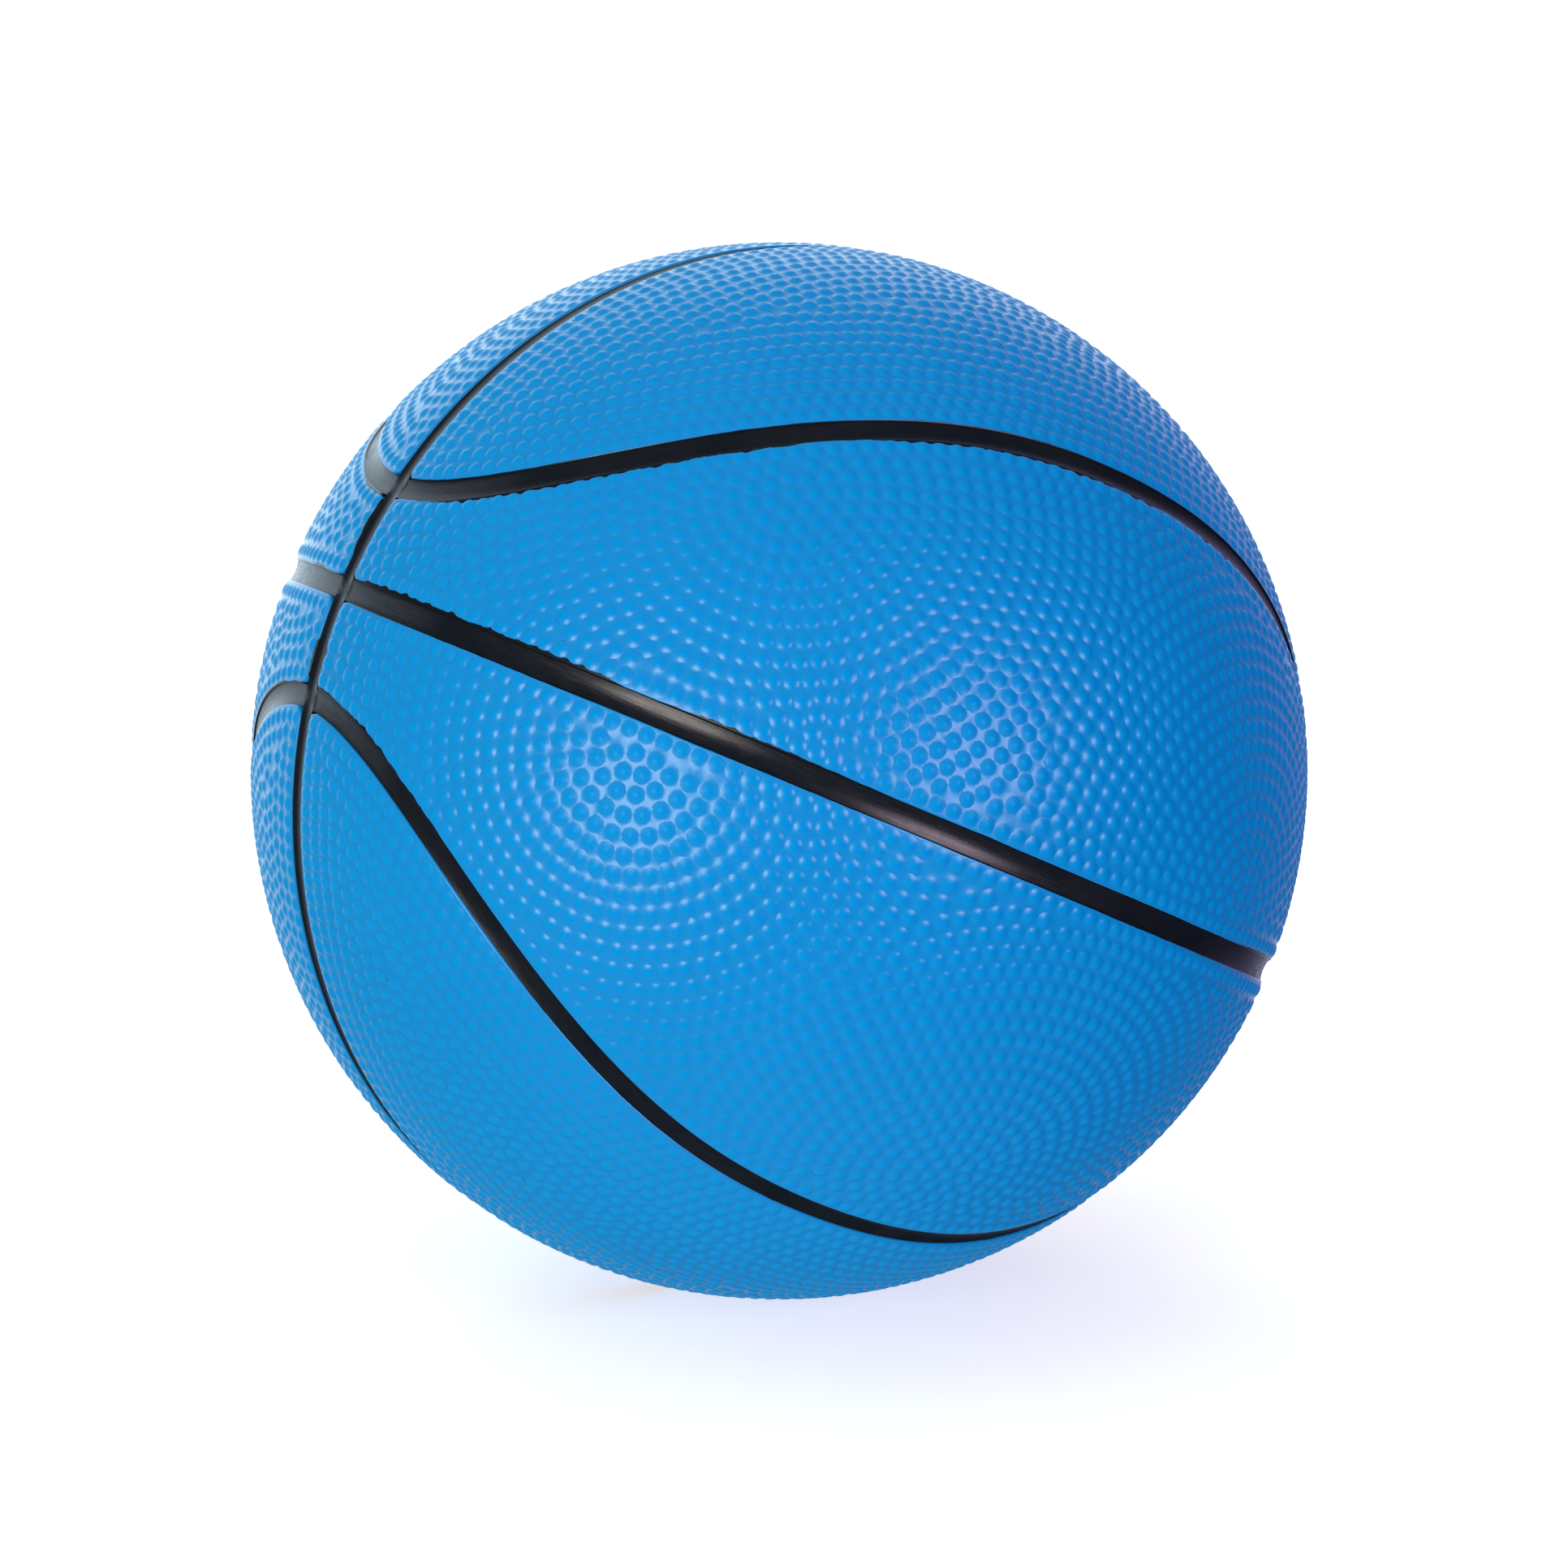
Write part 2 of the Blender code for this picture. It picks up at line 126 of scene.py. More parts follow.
bpy.ops.object.camera_add(
    location=(
        0.0,
        -VIEW_DISTANCE * math.cos(VIEW_ELEVATION),
        BALL_RADIUS + VIEW_DISTANCE * math.sin(VIEW_ELEVATION),
    ),
    rotation=(math.pi / 2 - VIEW_ELEVATION, 0.0, 0.0),
)
camera = bpy.context.object
camera.name = "photo_camera"
camera.data.sensor_width = SENSOR_WIDTH
camera.data.lens = SENSOR_WIDTH * FOCAL_PIXELS / PHOTO_PIXELS
camera.data.shift_x = 0.5 - BALL_PIXEL_X / PHOTO_PIXELS
camera.data.shift_y = BALL_PIXEL_Y / PHOTO_PIXELS - 0.5
bpy.context.scene.camera = camera
bpy.context.scene.view_settings.view_transform = "Standard"
print("lens", round(camera.data.lens, 2), "mm")

# %% [markdown]
# ## Node helpers
# Materials, the floor and the surroundings are all built from shader nodes. Adding
# a node, setting it and linking it takes several lines each time, so these helpers
# do it in one. A value that is a socket is linked, and any other value is set.

# %% Define the node helpers
def fill_inputs(tree, node, inputs):
    """Links each input whose value is a socket, and sets each other one."""
    for name, value in inputs.items():
        if isinstance(value, bpy.types.NodeSocket):
            tree.links.new(value, node.inputs[name])
        else:
            node.inputs[name].default_value = value


def add_node(tree, kind, inputs=None, **settings):
    """A shader node with its settings made and its inputs set or linked."""
    made = tree.nodes.new("ShaderNode" + kind)
    for name, value in settings.items():
        setattr(made, name, value)
    fill_inputs(tree, made, inputs or {})
    return made


def maths(tree, operation, first, second=0.0):
    """The result of one sum."""
    return add_node(tree, "Math", {0: first, 1: second}, operation=operation).outputs[0]


def raised(tree, value, other, share):
    """A value raised by a share of another one."""
    return maths(tree, "ADD", value, maths(tree, "MULTIPLY", other, share))


def ranged(tree, value, low, high, to_low=0.0, to_high=1.0):
    """A value carried from one range to another, and held there."""
    inputs = {0: value, 1: low, 2: high, 3: to_low, 4: to_high}
    return add_node(tree, "MapRange", inputs).outputs[0]


def blended(tree, share, first, second, how="MIX"):
    """A colour made of two colours. A Mix node has its colours in inputs 6 and 7 and output 2."""
    inputs = {0: share, 6: first, 7: second}
    return add_node(tree, "Mix", inputs, data_type="RGBA", blend_type=how).outputs[2]


def vector_maths(tree, operation, inputs, output=0):
    """The result of one sum with vectors."""
    return add_node(tree, "VectorMath", inputs, operation=operation).outputs[output]


def noise(tree, where, scale, detail=2.0, roughness=0.5):
    """Cloudy values about one half, in spots of 1 / scale metres."""
    inputs = {"Vector": where, "Scale": scale, "Detail": detail, "Roughness": roughness}
    return add_node(tree, "TexNoise", inputs).outputs[0]


def attribute(tree, name):
    """A value that the mesh carries."""
    return add_node(tree, "Attribute", attribute_name=name).outputs["Fac"]


def object_place(tree):
    """Where a point lies on the piece, in metres."""
    return add_node(tree, "TexCoord").outputs["Object"]


print("node helpers ready")

# %% [markdown]
# ## Floor
# The photograph has a plain white ground. A large plane stands in for it, painted
# nearly white. It glows a little, like a light table, so that it reads as white:
# raising the lamps instead would bleach the ball. The glow is warm, because the
# room's light is cool and would leave the shadow green. The ball's shadow falls on
# the floor, but the ball neither mirrors it nor is lit by it, since the photographed
# ball shows no floor in its gloss. Ray visibility does that without other paint.

# %% Lay the floor
FLOOR_SIZE = 12.0
FLOOR_WHITE = 0.88
FLOOR_GLOW = 0.60
FLOOR_GLOW_COLOUR = (1.0, 0.82, 0.67, 1.0)
FLOOR_ROUGHNESS = 0.9


def floor_paint():
    """Matt white paint that glows a little."""
    made = bpy.data.materials.new("floor_paint")
    made.use_nodes = True
    paint = made.node_tree.nodes["Principled BSDF"]
    paint.inputs["Base Color"].default_value = (FLOOR_WHITE, FLOOR_WHITE, FLOOR_WHITE, 1.0)
    paint.inputs["Roughness"].default_value = FLOOR_ROUGHNESS
    paint.inputs["Specular IOR Level"].default_value = 0.0
    paint.inputs["Emission Color"].default_value = FLOOR_GLOW_COLOUR
    paint.inputs["Emission Strength"].default_value = FLOOR_GLOW
    return made


bpy.ops.mesh.primitive_plane_add(size=FLOOR_SIZE)
floor = bpy.context.object
floor.name = "studio_floor"
floor.data.materials.append(floor_paint())
floor.visible_diffuse = False
floor.visible_glossy = False
floor.visible_shadow = False
floor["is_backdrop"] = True
print("floor", FLOOR_SIZE, "m wide")

# %% [markdown]
# ## Lamps
# The photograph shows two round highlights of the same size on the front of the
# ball, so two round soft lamps stood left and right of the camera. Each could be a
# glowing disk, but an area lamp in the shape of a disk gives the same highlight with
# less noise. A highlight's width gives the lamp's size, and its brightness the lamp's
# power, and the right one is a little violet, as the ball is there. A third lamp
# lights the side that the photograph doesn't show. Its own highlight is switched off,
# or it would spill over the rim into the photographed side.

# %% Set up the lamps
LAMP_DISTANCE = 1.2
LAMP_HALF_ANGLE = math.radians(13.0)
LAMP_LEFT_COLOUR = (7.7, 8.0, 7.9)
LAMP_RIGHT_COLOUR = (6.4, 5.7, 6.9)
LAMP_BACK_COLOUR = (3.2, 3.2, 3.2)
LAMP_LEFT = Vector((-0.475, -0.873, 0.096))
LAMP_RIGHT = Vector((0.629, -0.755, 0.188))
LAMP_BACK = Vector((-0.30, 0.84, 0.45))


def soft_lamp(name, direction, colour):
    """A round soft lamp that faces the ball from one direction."""
    bpy.ops.object.light_add(
        type="AREA",
        location=Vector(centre) + direction.normalized() * LAMP_DISTANCE,
        rotation=direction.to_track_quat("Z", "Y").to_euler(),
    )
    made = bpy.context.object
    made.name = name
    radius = LAMP_DISTANCE * math.tan(LAMP_HALF_ANGLE)
    made.data.shape = "DISK"
    made.data.size = 2 * radius
    # With this power the disk is as bright as its colour says.
    made.data.energy = math.pi * math.pi * radius ** 2
    made.data.color = colour
    made.visible_camera = False
    return made


lamps = [
    soft_lamp("lamp_left", LAMP_LEFT, LAMP_LEFT_COLOUR),
    soft_lamp("lamp_right", LAMP_RIGHT, LAMP_RIGHT_COLOUR),
    soft_lamp("lamp_back", LAMP_BACK, LAMP_BACK_COLOUR),
]
lamps[-1].visible_glossy = False
for lamp in lamps:
    print(lamp.name, round(lamp.data.energy, 2), "W,", round(lamp.data.size, 2), "m wide")

# %% [markdown]
# ## Room
# The ball's left side is pale, its right side falls off into deep blue, and some
# light reaches it from above and below. Large lamps on every side could give that,
# but a world is simpler: a few sums on the direction of a ray say how bright the
# room is there. The camera sees plain white in its place. The gloss doesn't mirror
# it, because so pure a blue has no red, and faint grey reflections would dull it.

# %% Set up the room
ROOM_LEFT = (0.58, 0.76, 0.78, 1.0)
ROOM_RIGHT = (0.03, 0.00, 0.20, 1.0)
ROOM_RIGHT_FROM = 0.53
LIGHT_ABOVE = 0.85
LIGHT_BELOW = 1.40
LIGHT_TINT = (0.60, 1.0, 1.0)
HORIZON = 0.1
WHITE = (1.0, 1.0, 1.0, 1.0)


def room():
    """Surroundings that light the ball, mostly from the left. The camera sees white."""
    made = bpy.data.worlds.new("studio_room")
    made.use_nodes = True
    tree = made.node_tree
    heading = add_node(tree, "TexCoord").outputs["Generated"]
    axes = add_node(tree, "SeparateXYZ", {0: heading}).outputs
    walls = blended(tree, ranged(tree, axes["X"], -1.0, ROOM_RIGHT_FROM), ROOM_LEFT, ROOM_RIGHT)
    steepness = maths(tree, "MULTIPLY", axes["Z"], axes["Z"])
    strength = ranged(tree, axes["Z"], -HORIZON, HORIZON, LIGHT_BELOW, LIGHT_ABOVE)
    share = maths(tree, "MULTIPLY", steepness, strength)
    ends = vector_maths(tree, "SCALE", {0: LIGHT_TINT, "Scale": share})
    light = blended(tree, 1.0, walls, ends, how="ADD")
    seen = add_node(tree, "LightPath").outputs["Is Camera Ray"]
    tree.links.new(blended(tree, seen, light, WHITE), tree.nodes["Background"].inputs["Color"])
    return made


bpy.context.scene.world = room()
bpy.context.scene.world.cycles_visibility.glossy = False
print("room:", bpy.context.scene.world.name)

# %% [markdown]
# ## What the gloss mirrors
# The photographed rim shines pale on the left and top and violet on the right, so a
# bright wall stood behind the ball, dimmer towards the ground. Only reflections near
# the rim are seen, since gloss is strongest where it is looked at flatly. A scene has
# one world and the room uses it, so the wall is a large glowing sphere round the
# ball, with ray visibility set so that nothing but reflections meets it.

# %% Set up what the gloss mirrors
WALL_DISTANCE = 3.0
WALL_LEFT = (1.50, 1.88, 2.15, 1.0)
WALL_RIGHT = (0.45, 0.36, 0.80, 1.0)
WALL_STARTS = 0.40
WALL_LOW = 0.12
WALL_LOW_AT = -0.7
WALL_VIOLET_AT = 0.6


def wall_glow():
    """Light from behind the ball: pale on the left, violet on the right, dim near the ground."""
    made = bpy.data.materials.new("wall_glow")
    made.use_nodes = True
    tree = made.node_tree
    tree.nodes.remove(tree.nodes["Principled BSDF"])
    heading = vector_maths(tree, "NORMALIZE", {0: object_place(tree)})
    axes = add_node(tree, "SeparateXYZ", {0: heading}).outputs
    colour = blended(tree, ranged(tree, axes["X"], 0.0, WALL_VIOLET_AT), WALL_LEFT, WALL_RIGHT)
    height = ranged(tree, axes["Z"], WALL_LOW_AT, 0.0, WALL_LOW, 1.0)
    share = maths(tree, "MULTIPLY", ranged(tree, axes["Y"], WALL_STARTS, 1.0), height)
    glow = add_node(tree, "Emission", {"Color": colour, "Strength": share}).outputs[0]
    tree.links.new(glow, tree.nodes["Material Output"].inputs["Surface"])
    return made


bpy.ops.mesh.primitive_uv_sphere_add(radius=WALL_DISTANCE, location=centre)
wall = bpy.context.object
wall.name = "studio_wall"
wall.data.materials.append(wall_glow())
wall.visible_camera = False
wall.visible_diffuse = False
wall.visible_shadow = False
wall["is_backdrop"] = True
print("wall", WALL_DISTANCE, "m away")

# %% [markdown]
# ## Seam curves
# The middle and cross seams are great circles. A side seam lies close to the middle
# seam at the crossing, swings away from it and is farthest at its crown, so its
# latitude is a sum of two cosines through three measured angles. Each function
# gives a line that runs beside a seam at some angle to one side, because a panel's
# edge, a row of pebbles and a channel's side are all such lines.

# %% Define the seam curves
SIDE_SEAM_AT_CROSSING = 11.7
SIDE_SEAM_MIDWAY = 32.7
SIDE_SEAM_AT_CROWN = 43.9
SIDE_SEAM_POINTS = 721
SMALL_TURN = 0.001


def side_seam_latitude(turn):
    """Latitude of the side seam above the middle seam."""
    ends = (SIDE_SEAM_AT_CROSSING + SIDE_SEAM_AT_CROWN) / 4
    swing = (SIDE_SEAM_AT_CROSSING - SIDE_SEAM_AT_CROWN) / 2
    mean = ends + SIDE_SEAM_MIDWAY / 2
    bulge = ends - SIDE_SEAM_MIDWAY / 2
    return np.radians(mean + swing * np.cos(2 * turn) + bulge * np.cos(4 * turn))


def side_seam(turn):
    """Directions of points on the side seam."""
    latitude = side_seam_latitude(turn)
    flat = np.cos(latitude)
    return np.stack([flat * np.cos(turn), np.sin(latitude), flat * np.sin(turn)], axis=-1)


def beside_side_seam(turn, angle):
    """A line beside the side seam, away from the middle seam for a positive angle."""
    out = side_seam(turn)
    across = unit(np.cross(side_seam(turn + SMALL_TURN) - side_seam(turn - SMALL_TURN), out))
    angle = np.broadcast_to(angle, np.shape(turn))[:, None]
    return np.cos(angle) * out + np.sin(angle) * across


def beside_middle_seam(turn, angle):
    """A line beside the middle seam, on its upper side for a positive angle."""
    flat = np.cos(angle)
    up = np.broadcast_to(np.sin(angle), np.shape(turn))
    return np.stack([flat * np.cos(turn), up, flat * np.sin(turn)], axis=-1)


def beside_cross_seam(turn, angle):
    """A line beside the cross seam, on its back side for a positive angle."""
    flat = np.cos(angle)
    back = np.broadcast_to(np.sin(angle), np.shape(turn))
    return np.stack([flat * np.cos(turn), flat * np.sin(turn), back], axis=-1)


side_seam_points = side_seam(np.linspace(0.0, math.pi, SIDE_SEAM_POINTS))
side_seam_steps = np.linalg.norm(np.diff(side_seam_points, axis=0), axis=1)
print("side seam length:", round(side_seam_steps.sum(), 3), "radii")

# %% [markdown]
# ## Distance from the seams
# A panel is everything that is far enough from the seams round it, so the least angle
# to a seam says how deep in a panel a point lies. Measuring that on a mesh would need
# the mesh first, and sums on directions need none. They are worked out for the panels
# on the upper back side, and turned copies give the others.

# %% Measure distance from the seams
AT_ONCE = 4000


def angle_past_side_seam(points):
    """Angle from the side seam, positive on the end panel's side."""
    parts = np.array_split(points, len(points) // AT_ONCE + 1)
    closest = np.concatenate([(part @ side_seam_points.T).max(axis=1) for part in parts])
    angle = np.arccos(np.clip(closest, -1.0, 1.0))
    seam = side_seam_latitude(np.arctan2(points[:, 2], points[:, 0]))
    return np.where(np.arcsin(points[:, 1]) > seam, angle, -angle)


def depth_in_middle_panel(points):
    """Least angle to the middle, cross and side seams round a middle panel."""
    great = np.arcsin(np.clip(points[:, 1:], -1.0, 1.0)).min(axis=1)
    return np.minimum(great, -angle_past_side_seam(points))


def depth_in_end_panel(points):
    """Least angle to the cross and side seams round an end panel."""
    return np.minimum(np.arcsin(points[:, 2]), angle_past_side_seam(points))


panel_middle = beside_middle_seam(np.array([math.pi / 2]), math.radians(SIDE_SEAM_AT_CROWN / 2))
panel_depth = math.degrees(depth_in_middle_panel(panel_middle)[0])
print("a middle panel is", round(panel_depth, 1), "degrees deep")

# %% [markdown]
# ## Rows that follow a panel's edge
# On the real ball the pebbles next to a channel stand in a row along it. Such a row
# is the line of points at one depth in the panel, like a contour line on a map:
# lines beside each seam are joined, and points too close to another seam are dropped.

# %% Draw a panel's contour lines
LINE_POINTS = 1200
SAME_DEPTH = 0.0004

half_turns = np.linspace(0.0, math.pi, LINE_POINTS)
quarter_turns = np.linspace(0.0, math.pi / 2, LINE_POINTS)


def middle_panel_line(angle):
    """The closed line at one depth in the middle panel."""
    line = np.concatenate([
        beside_middle_seam(half_turns, angle),
        beside_cross_seam(math.pi - quarter_turns, angle),
        beside_side_seam(half_turns[::-1], -angle),
        beside_cross_seam(quarter_turns[::-1], angle),
    ])
    return line[depth_in_middle_panel(line) > angle - SAME_DEPTH]


def end_panel_line(angle):
    """The closed line at one depth in the end panel."""
    line = np.concatenate([
        beside_cross_seam(half_turns, angle),
        beside_side_seam(half_turns[::-1], angle),
    ])
    return line[depth_in_end_panel(line) > angle - SAME_DEPTH]


def evenly(line, spacing, phase=0.0):
    """Points along a closed line, evenly spaced by about an angle."""
    closed = np.vstack([line, line[:1]])
    reach = np.concatenate([[0.0], np.linalg.norm(np.diff(closed, axis=0), axis=1).cumsum()])
    count = max(3, round(reach[-1] / spacing))
    at = (np.arange(count) + phase) * reach[-1] / count
    return unit(np.stack([np.interp(at, reach, closed[:, axis]) for axis in range(3)], axis=1))


print("points along a middle panel's edge:", len(middle_panel_line(0.0)))

# %% [markdown]
# ## Rings of pebbles
# Away from the edges the rows on a middle panel don't follow the seams. They stand in
# rings round two points, one close to the middle seam and one close to the side seam,
# and meet between them, which shows as wide arcs beside the highlights. So those rows
# are circles round these points, and each part of the panel takes the circles of the
# nearer one. The upper and lower panels have them in different places. End panels
# are rounder, and contour lines already give them such rings.

# %% Draw the rings
PITCH = 2.84 * MM / BALL_RADIUS
ROW_STEP = 3.04 * MM / BALL_RADIUS
CHANNEL_HALF_WIDTH = 1.80 * MM
LIP_WIDTH = 0.36 * MM
BORDER_DEPTH = (CHANNEL_HALF_WIDTH + LIP_WIDTH) / BALL_RADIUS
ROW_FROM_BORDER = 0.51 * PITCH
FIRST_ROW_DEPTH = BORDER_DEPTH + ROW_FROM_BORDER
RING_MIDDLES = {
    "upper": ((63.5, 4.0), (133.0, 25.5)),
    "lower": ((43.8, 4.2), (97.5, 33.0)),
}
RING_COUNT = 55
HALF_STEP = 0.5


def towards(turn, latitude):
    """The direction at a turn along the middle seam and a latitude above it, in degrees."""
    return beside_middle_seam(np.radians([turn]), math.radians(latitude))[0]


def ring_round(middle, angle, spacing, phase=0.0):
    """Evenly spaced directions on a circle round a direction, clockwise from outside."""
    side = unit(np.cross([0.0, 1.0, 0.0], middle))
    rise = np.cross(middle, side)
    count = max(1, round(2 * math.pi * math.sin(angle) / spacing))
    turn = -(np.arange(count)[:, None] + phase) * 2 * math.pi / count
    return middle * math.cos(angle) + (side * np.cos(turn) + rise * np.sin(turn)) * math.sin(angle)


def middle_panel_rows(spots):
    """Rows of sites on a middle panel: one along its edge, then rings, each half a step on."""
    rows = [evenly(middle_panel_line(FIRST_ROW_DEPTH), PITCH)]
    middles = np.array([towards(*spot) for spot in spots])
    for number, middle in enumerate(middles):
        rows.append(middle[None])
        for step in range(1, RING_COUNT):
            ring = ring_round(middle, step * ROW_STEP, PITCH, phase=HALF_STEP * (step % 2))
            own = (ring @ middles.T).argmax(axis=1) == number
            rows.append(ring[own & (depth_in_middle_panel(ring) > FIRST_ROW_DEPTH)])
    return rows


def end_panel_rows():
    """Rows of sites on the end panel, each farther from its edge."""
    rows = []
    angle = FIRST_ROW_DEPTH
    line = end_panel_line(angle)
    while len(line) > 2:
        rows.append(evenly(line, PITCH, phase=HALF_STEP * (len(rows) % 2)))
        angle += ROW_STEP
        line = end_panel_line(angle)
    return rows


rows_of = {kind: middle_panel_rows(spots) for kind, spots in RING_MIDDLES.items()}
rows_of["end"] = end_panel_rows()
print("rows on the panels:", {kind: len(rows) for kind, rows in rows_of.items()})

# %% [markdown]
# ## Pebble sites
# Where rows meet, pebbles come too close together or leave gaps. Sites that crowd an
# earlier one are left out, the widest gaps are filled, and then all sites push each
# other apart a little, as marbles do when their tray is shaken. The first row is
# held, because it follows the channel exactly. Only a little shaking is needed: it
# evens out the joins and leaves the rows, and with more of it the rows would dissolve.

# %% Place the pebbles
CROWDED = 0.75
EMPTY = 0.80
PUSH_REACH = 1.06
PUSH_EASE = 0.20
SHAKES = 20
GAP_SPOTS = 40000
GAP_BATCHES = 12
GAP_SEED = 7


def without_crowding(rows):
    """Sites of all rows, less those that crowd a site of an earlier row."""
    kept = rows[0]
    for site in np.concatenate(rows[1:]):
        if (kept @ site).max() < math.cos(CROWDED * PITCH):
            kept = np.vstack([kept, site])
    return kept


def with_gaps_filled(sites, depth):
    """Sites with one more in each gap that has room for it."""
    spots = np.random.default_rng(GAP_SEED).normal(size=(GAP_SPOTS, 3))
    spots[:, 1:] = np.abs(spots[:, 1:])
    spots = unit(spots)
    spots = spots[depth(spots) > FIRST_ROW_DEPTH]
    batches = np.array_split(spots, GAP_BATCHES)
    nearest = np.concatenate([(batch @ sites.T).max(axis=1) for batch in batches])
    while nearest.min() < math.cos(EMPTY * PITCH):
        site = spots[nearest.argmin()]
        sites = np.vstack([sites, site])
        nearest = np.maximum(nearest, spots @ site)
    return sites


def shaken(sites, held):
    """Sites after they have pushed each other apart, with the first ones held still."""
    reach = PUSH_REACH * PITCH
    for _ in range(SHAKES):
        one, other = np.nonzero(np.triu(sites @ sites.T > math.cos(reach), 1))
        apart = sites[one] - sites[other]
        gap = np.linalg.norm(apart, axis=1, keepdims=True)
        push = apart / gap * (reach - gap) * PUSH_EASE
        moves = np.zeros_like(sites)
        np.add.at(moves, one, push)
        np.add.at(moves, other, -push)
        moves[:held] = 0.0
        sites = unit(sites + moves)
    return sites


def pebble_sites(rows, depth):
    """Directions of one panel's pebbles."""
    return shaken(with_gaps_filled(without_crowding(rows), depth), held=len(rows[0]))


def depth_in(kind):
    """The function that measures depth in one kind of panel."""
    return depth_in_end_panel if kind == "end" else depth_in_middle_panel


sites_of = {kind: pebble_sites(rows, depth_in(kind)) for kind, rows in rows_of.items()}
print("pebbles on the panels:", {kind: len(sites) for kind, sites in sites_of.items()})

# %% [markdown]
# ## Room for the valve
# One middle panel on the far side has the hole for the valve. Cutting it out with a
# boolean would leave half pebbles round it, so the sites make way before anything is
# modelled: those over the hole go, a ring of them is set round it, and the sites are
# shaken again so that the rows close up round the ring.

# %% Clear the pebbles round the valve
VALVE_NECK_RADIUS = 5.2 * MM
VALVE_FIT = 0.3 * MM
VALVE_TURN = 90.0
VALVE_LATITUDE = 22.0

valve_direction = towards(VALVE_TURN, VALVE_LATITUDE)
valve_border = (VALVE_NECK_RADIUS + VALVE_FIT + LIP_WIDTH) / BALL_RADIUS
valve_row = valve_border + ROW_FROM_BORDER
valve_ring = ring_round(valve_direction, valve_row, PITCH)
edge_row, inner = np.split(sites_of["upper"], [len(rows_of["upper"][0])])
inner = inner[inner @ valve_direction < math.cos(valve_row + CROWDED * PITCH)]
held = len(edge_row) + len(valve_ring)
valve_sites = shaken(np.vstack([edge_row, valve_ring, inner]), held)
print("pebbles in the ring round the valve:", len(valve_ring))

# %% [markdown]
# ## Panel outlines and nets
# A panel's flat top ends where its rim starts to roll over into the channel. That
# outline is the contour line at the border's depth, with its corners eased. The
# outline and the pebble sites are then joined into one net of triangles. Blender's
# Delaunay triangulation works in the flat, so the points are first laid flat by a
# projection that keeps small circles round, and the net is good on the ball too.

# %% Draw the outlines and lay them flat
BORDER_STEP = 0.5 * PITCH
CORNER_STEP = 0.25 * MM / BALL_RADIUS
CORNER_EASE = 5


def eased(line):
    """A closed line with its sharp corners rounded."""
    fine = evenly(line, CORNER_STEP)
    shifts = range(-CORNER_EASE, CORNER_EASE + 1)
    return unit(sum(np.roll(fine, shift, axis=0) for shift in shifts))


def anticlockwise(outline, middle):
    """An outline that runs anticlockwise as seen from outside the ball."""
    turning = np.cross(outline, np.roll(outline, -1, axis=0)).sum(axis=0) @ middle
    return outline if turning > 0 else outline[::-1]


def laid_flat(points, middle):
    """Flat places of directions round a middle direction."""
    right = unit(np.cross([1.0, 0.0, 0.0], middle))
    flat = np.stack([points @ right, points @ np.cross(middle, right)], axis=1)
    return flat * (2.0 / (1.0 + points @ middle))[:, None]


print("a border has a point every", round(BORDER_STEP * BALL_RADIUS / MM, 2), "mm")

# %% Net the panels
ONLY_INSIDE = 1
SAME_SPOT = 1e-7


def net(borders, sites, middle):
    """Points of borders and sites, and the triangles between them, outside any second border."""
    points = np.vstack([*borders, sites])
    loops = []
    start = 0
    for border in borders:
        loops.append(np.arange(start, start + len(border)))
        start += len(border)
    edges = [(int(a), int(b)) for loop in loops[1:] for a, b in zip(loop, np.roll(loop, -1))]
    flat = [Vector(spot) for spot in laid_flat(points, middle)]
    outline = loops[0].tolist()
    triangles = np.array(delaunay_2d_cdt(flat, edges, [outline], ONLY_INSIDE, SAME_SPOT)[2])
    if len(loops) > 1:
        inside = (triangles >= loops[1][0]) & (triangles <= loops[1][-1])
        triangles = triangles[~inside.all(axis=1)]
    return points, triangles, loops


def panel_net(line_at, sites, valve=False):
    """The net of one panel."""
    line = eased(line_at(BORDER_DEPTH))
    middle = unit(line.mean(axis=0))
    borders = [anticlockwise(evenly(line, BORDER_STEP), middle)]
    if valve:
        borders.append(ring_round(valve_direction, valve_border, BORDER_STEP))
    return (*net(borders, sites, middle), middle)


nets = {
    "upper": panel_net(middle_panel_line, sites_of["upper"]),
    "lower": panel_net(middle_panel_line, sites_of["lower"]),
    "end": panel_net(end_panel_line, sites_of["end"]),
    "valve": panel_net(middle_panel_line, valve_sites, valve=True),
}
print("triangles in the nets:", {kind: len(made[1]) for kind, made in nets.items()})

# %% [markdown]
# ## From net to pebbles
# Each corner of the net becomes a round dome, and the triangles between become the
# smooth land. A bevelled vertex would do this by hand, but it makes hexagons, and
# thousands of them need too many faces before they look round. So the faces are
# written out: every dome has spokes to the middles of its triangles and edges, with
# three rings of points on them, which is about 48 faces. A dome meets the land in a
# hollow curve, and those curves catch the lamps as bright dots round the highlights.

# %% Raise the pebbles
PEBBLE_HEIGHT = 0.33 * MM
PEBBLE_FOOT = 0.52 * PITCH
FOOT_LIMIT = 0.495
RING_SHARES = (1.0, 0.80, 0.45)
DOME_FLATNESS = 1.6
DIP_AT_EDGE = 0.005 * MM
DIP_AT_MIDDLE = 0.02 * MM
SIZE_SPREAD = 0.03
SIZE_SEED = 11
LAND_RADIUS = BALL_RADIUS - PEBBLE_HEIGHT


def dome_height(share):
    """Height of a dome, as a share of its top's, at a share of its foot's radius."""
    return (1.0 + math.cos(math.pi * share ** DOME_FLATNESS)) / 2


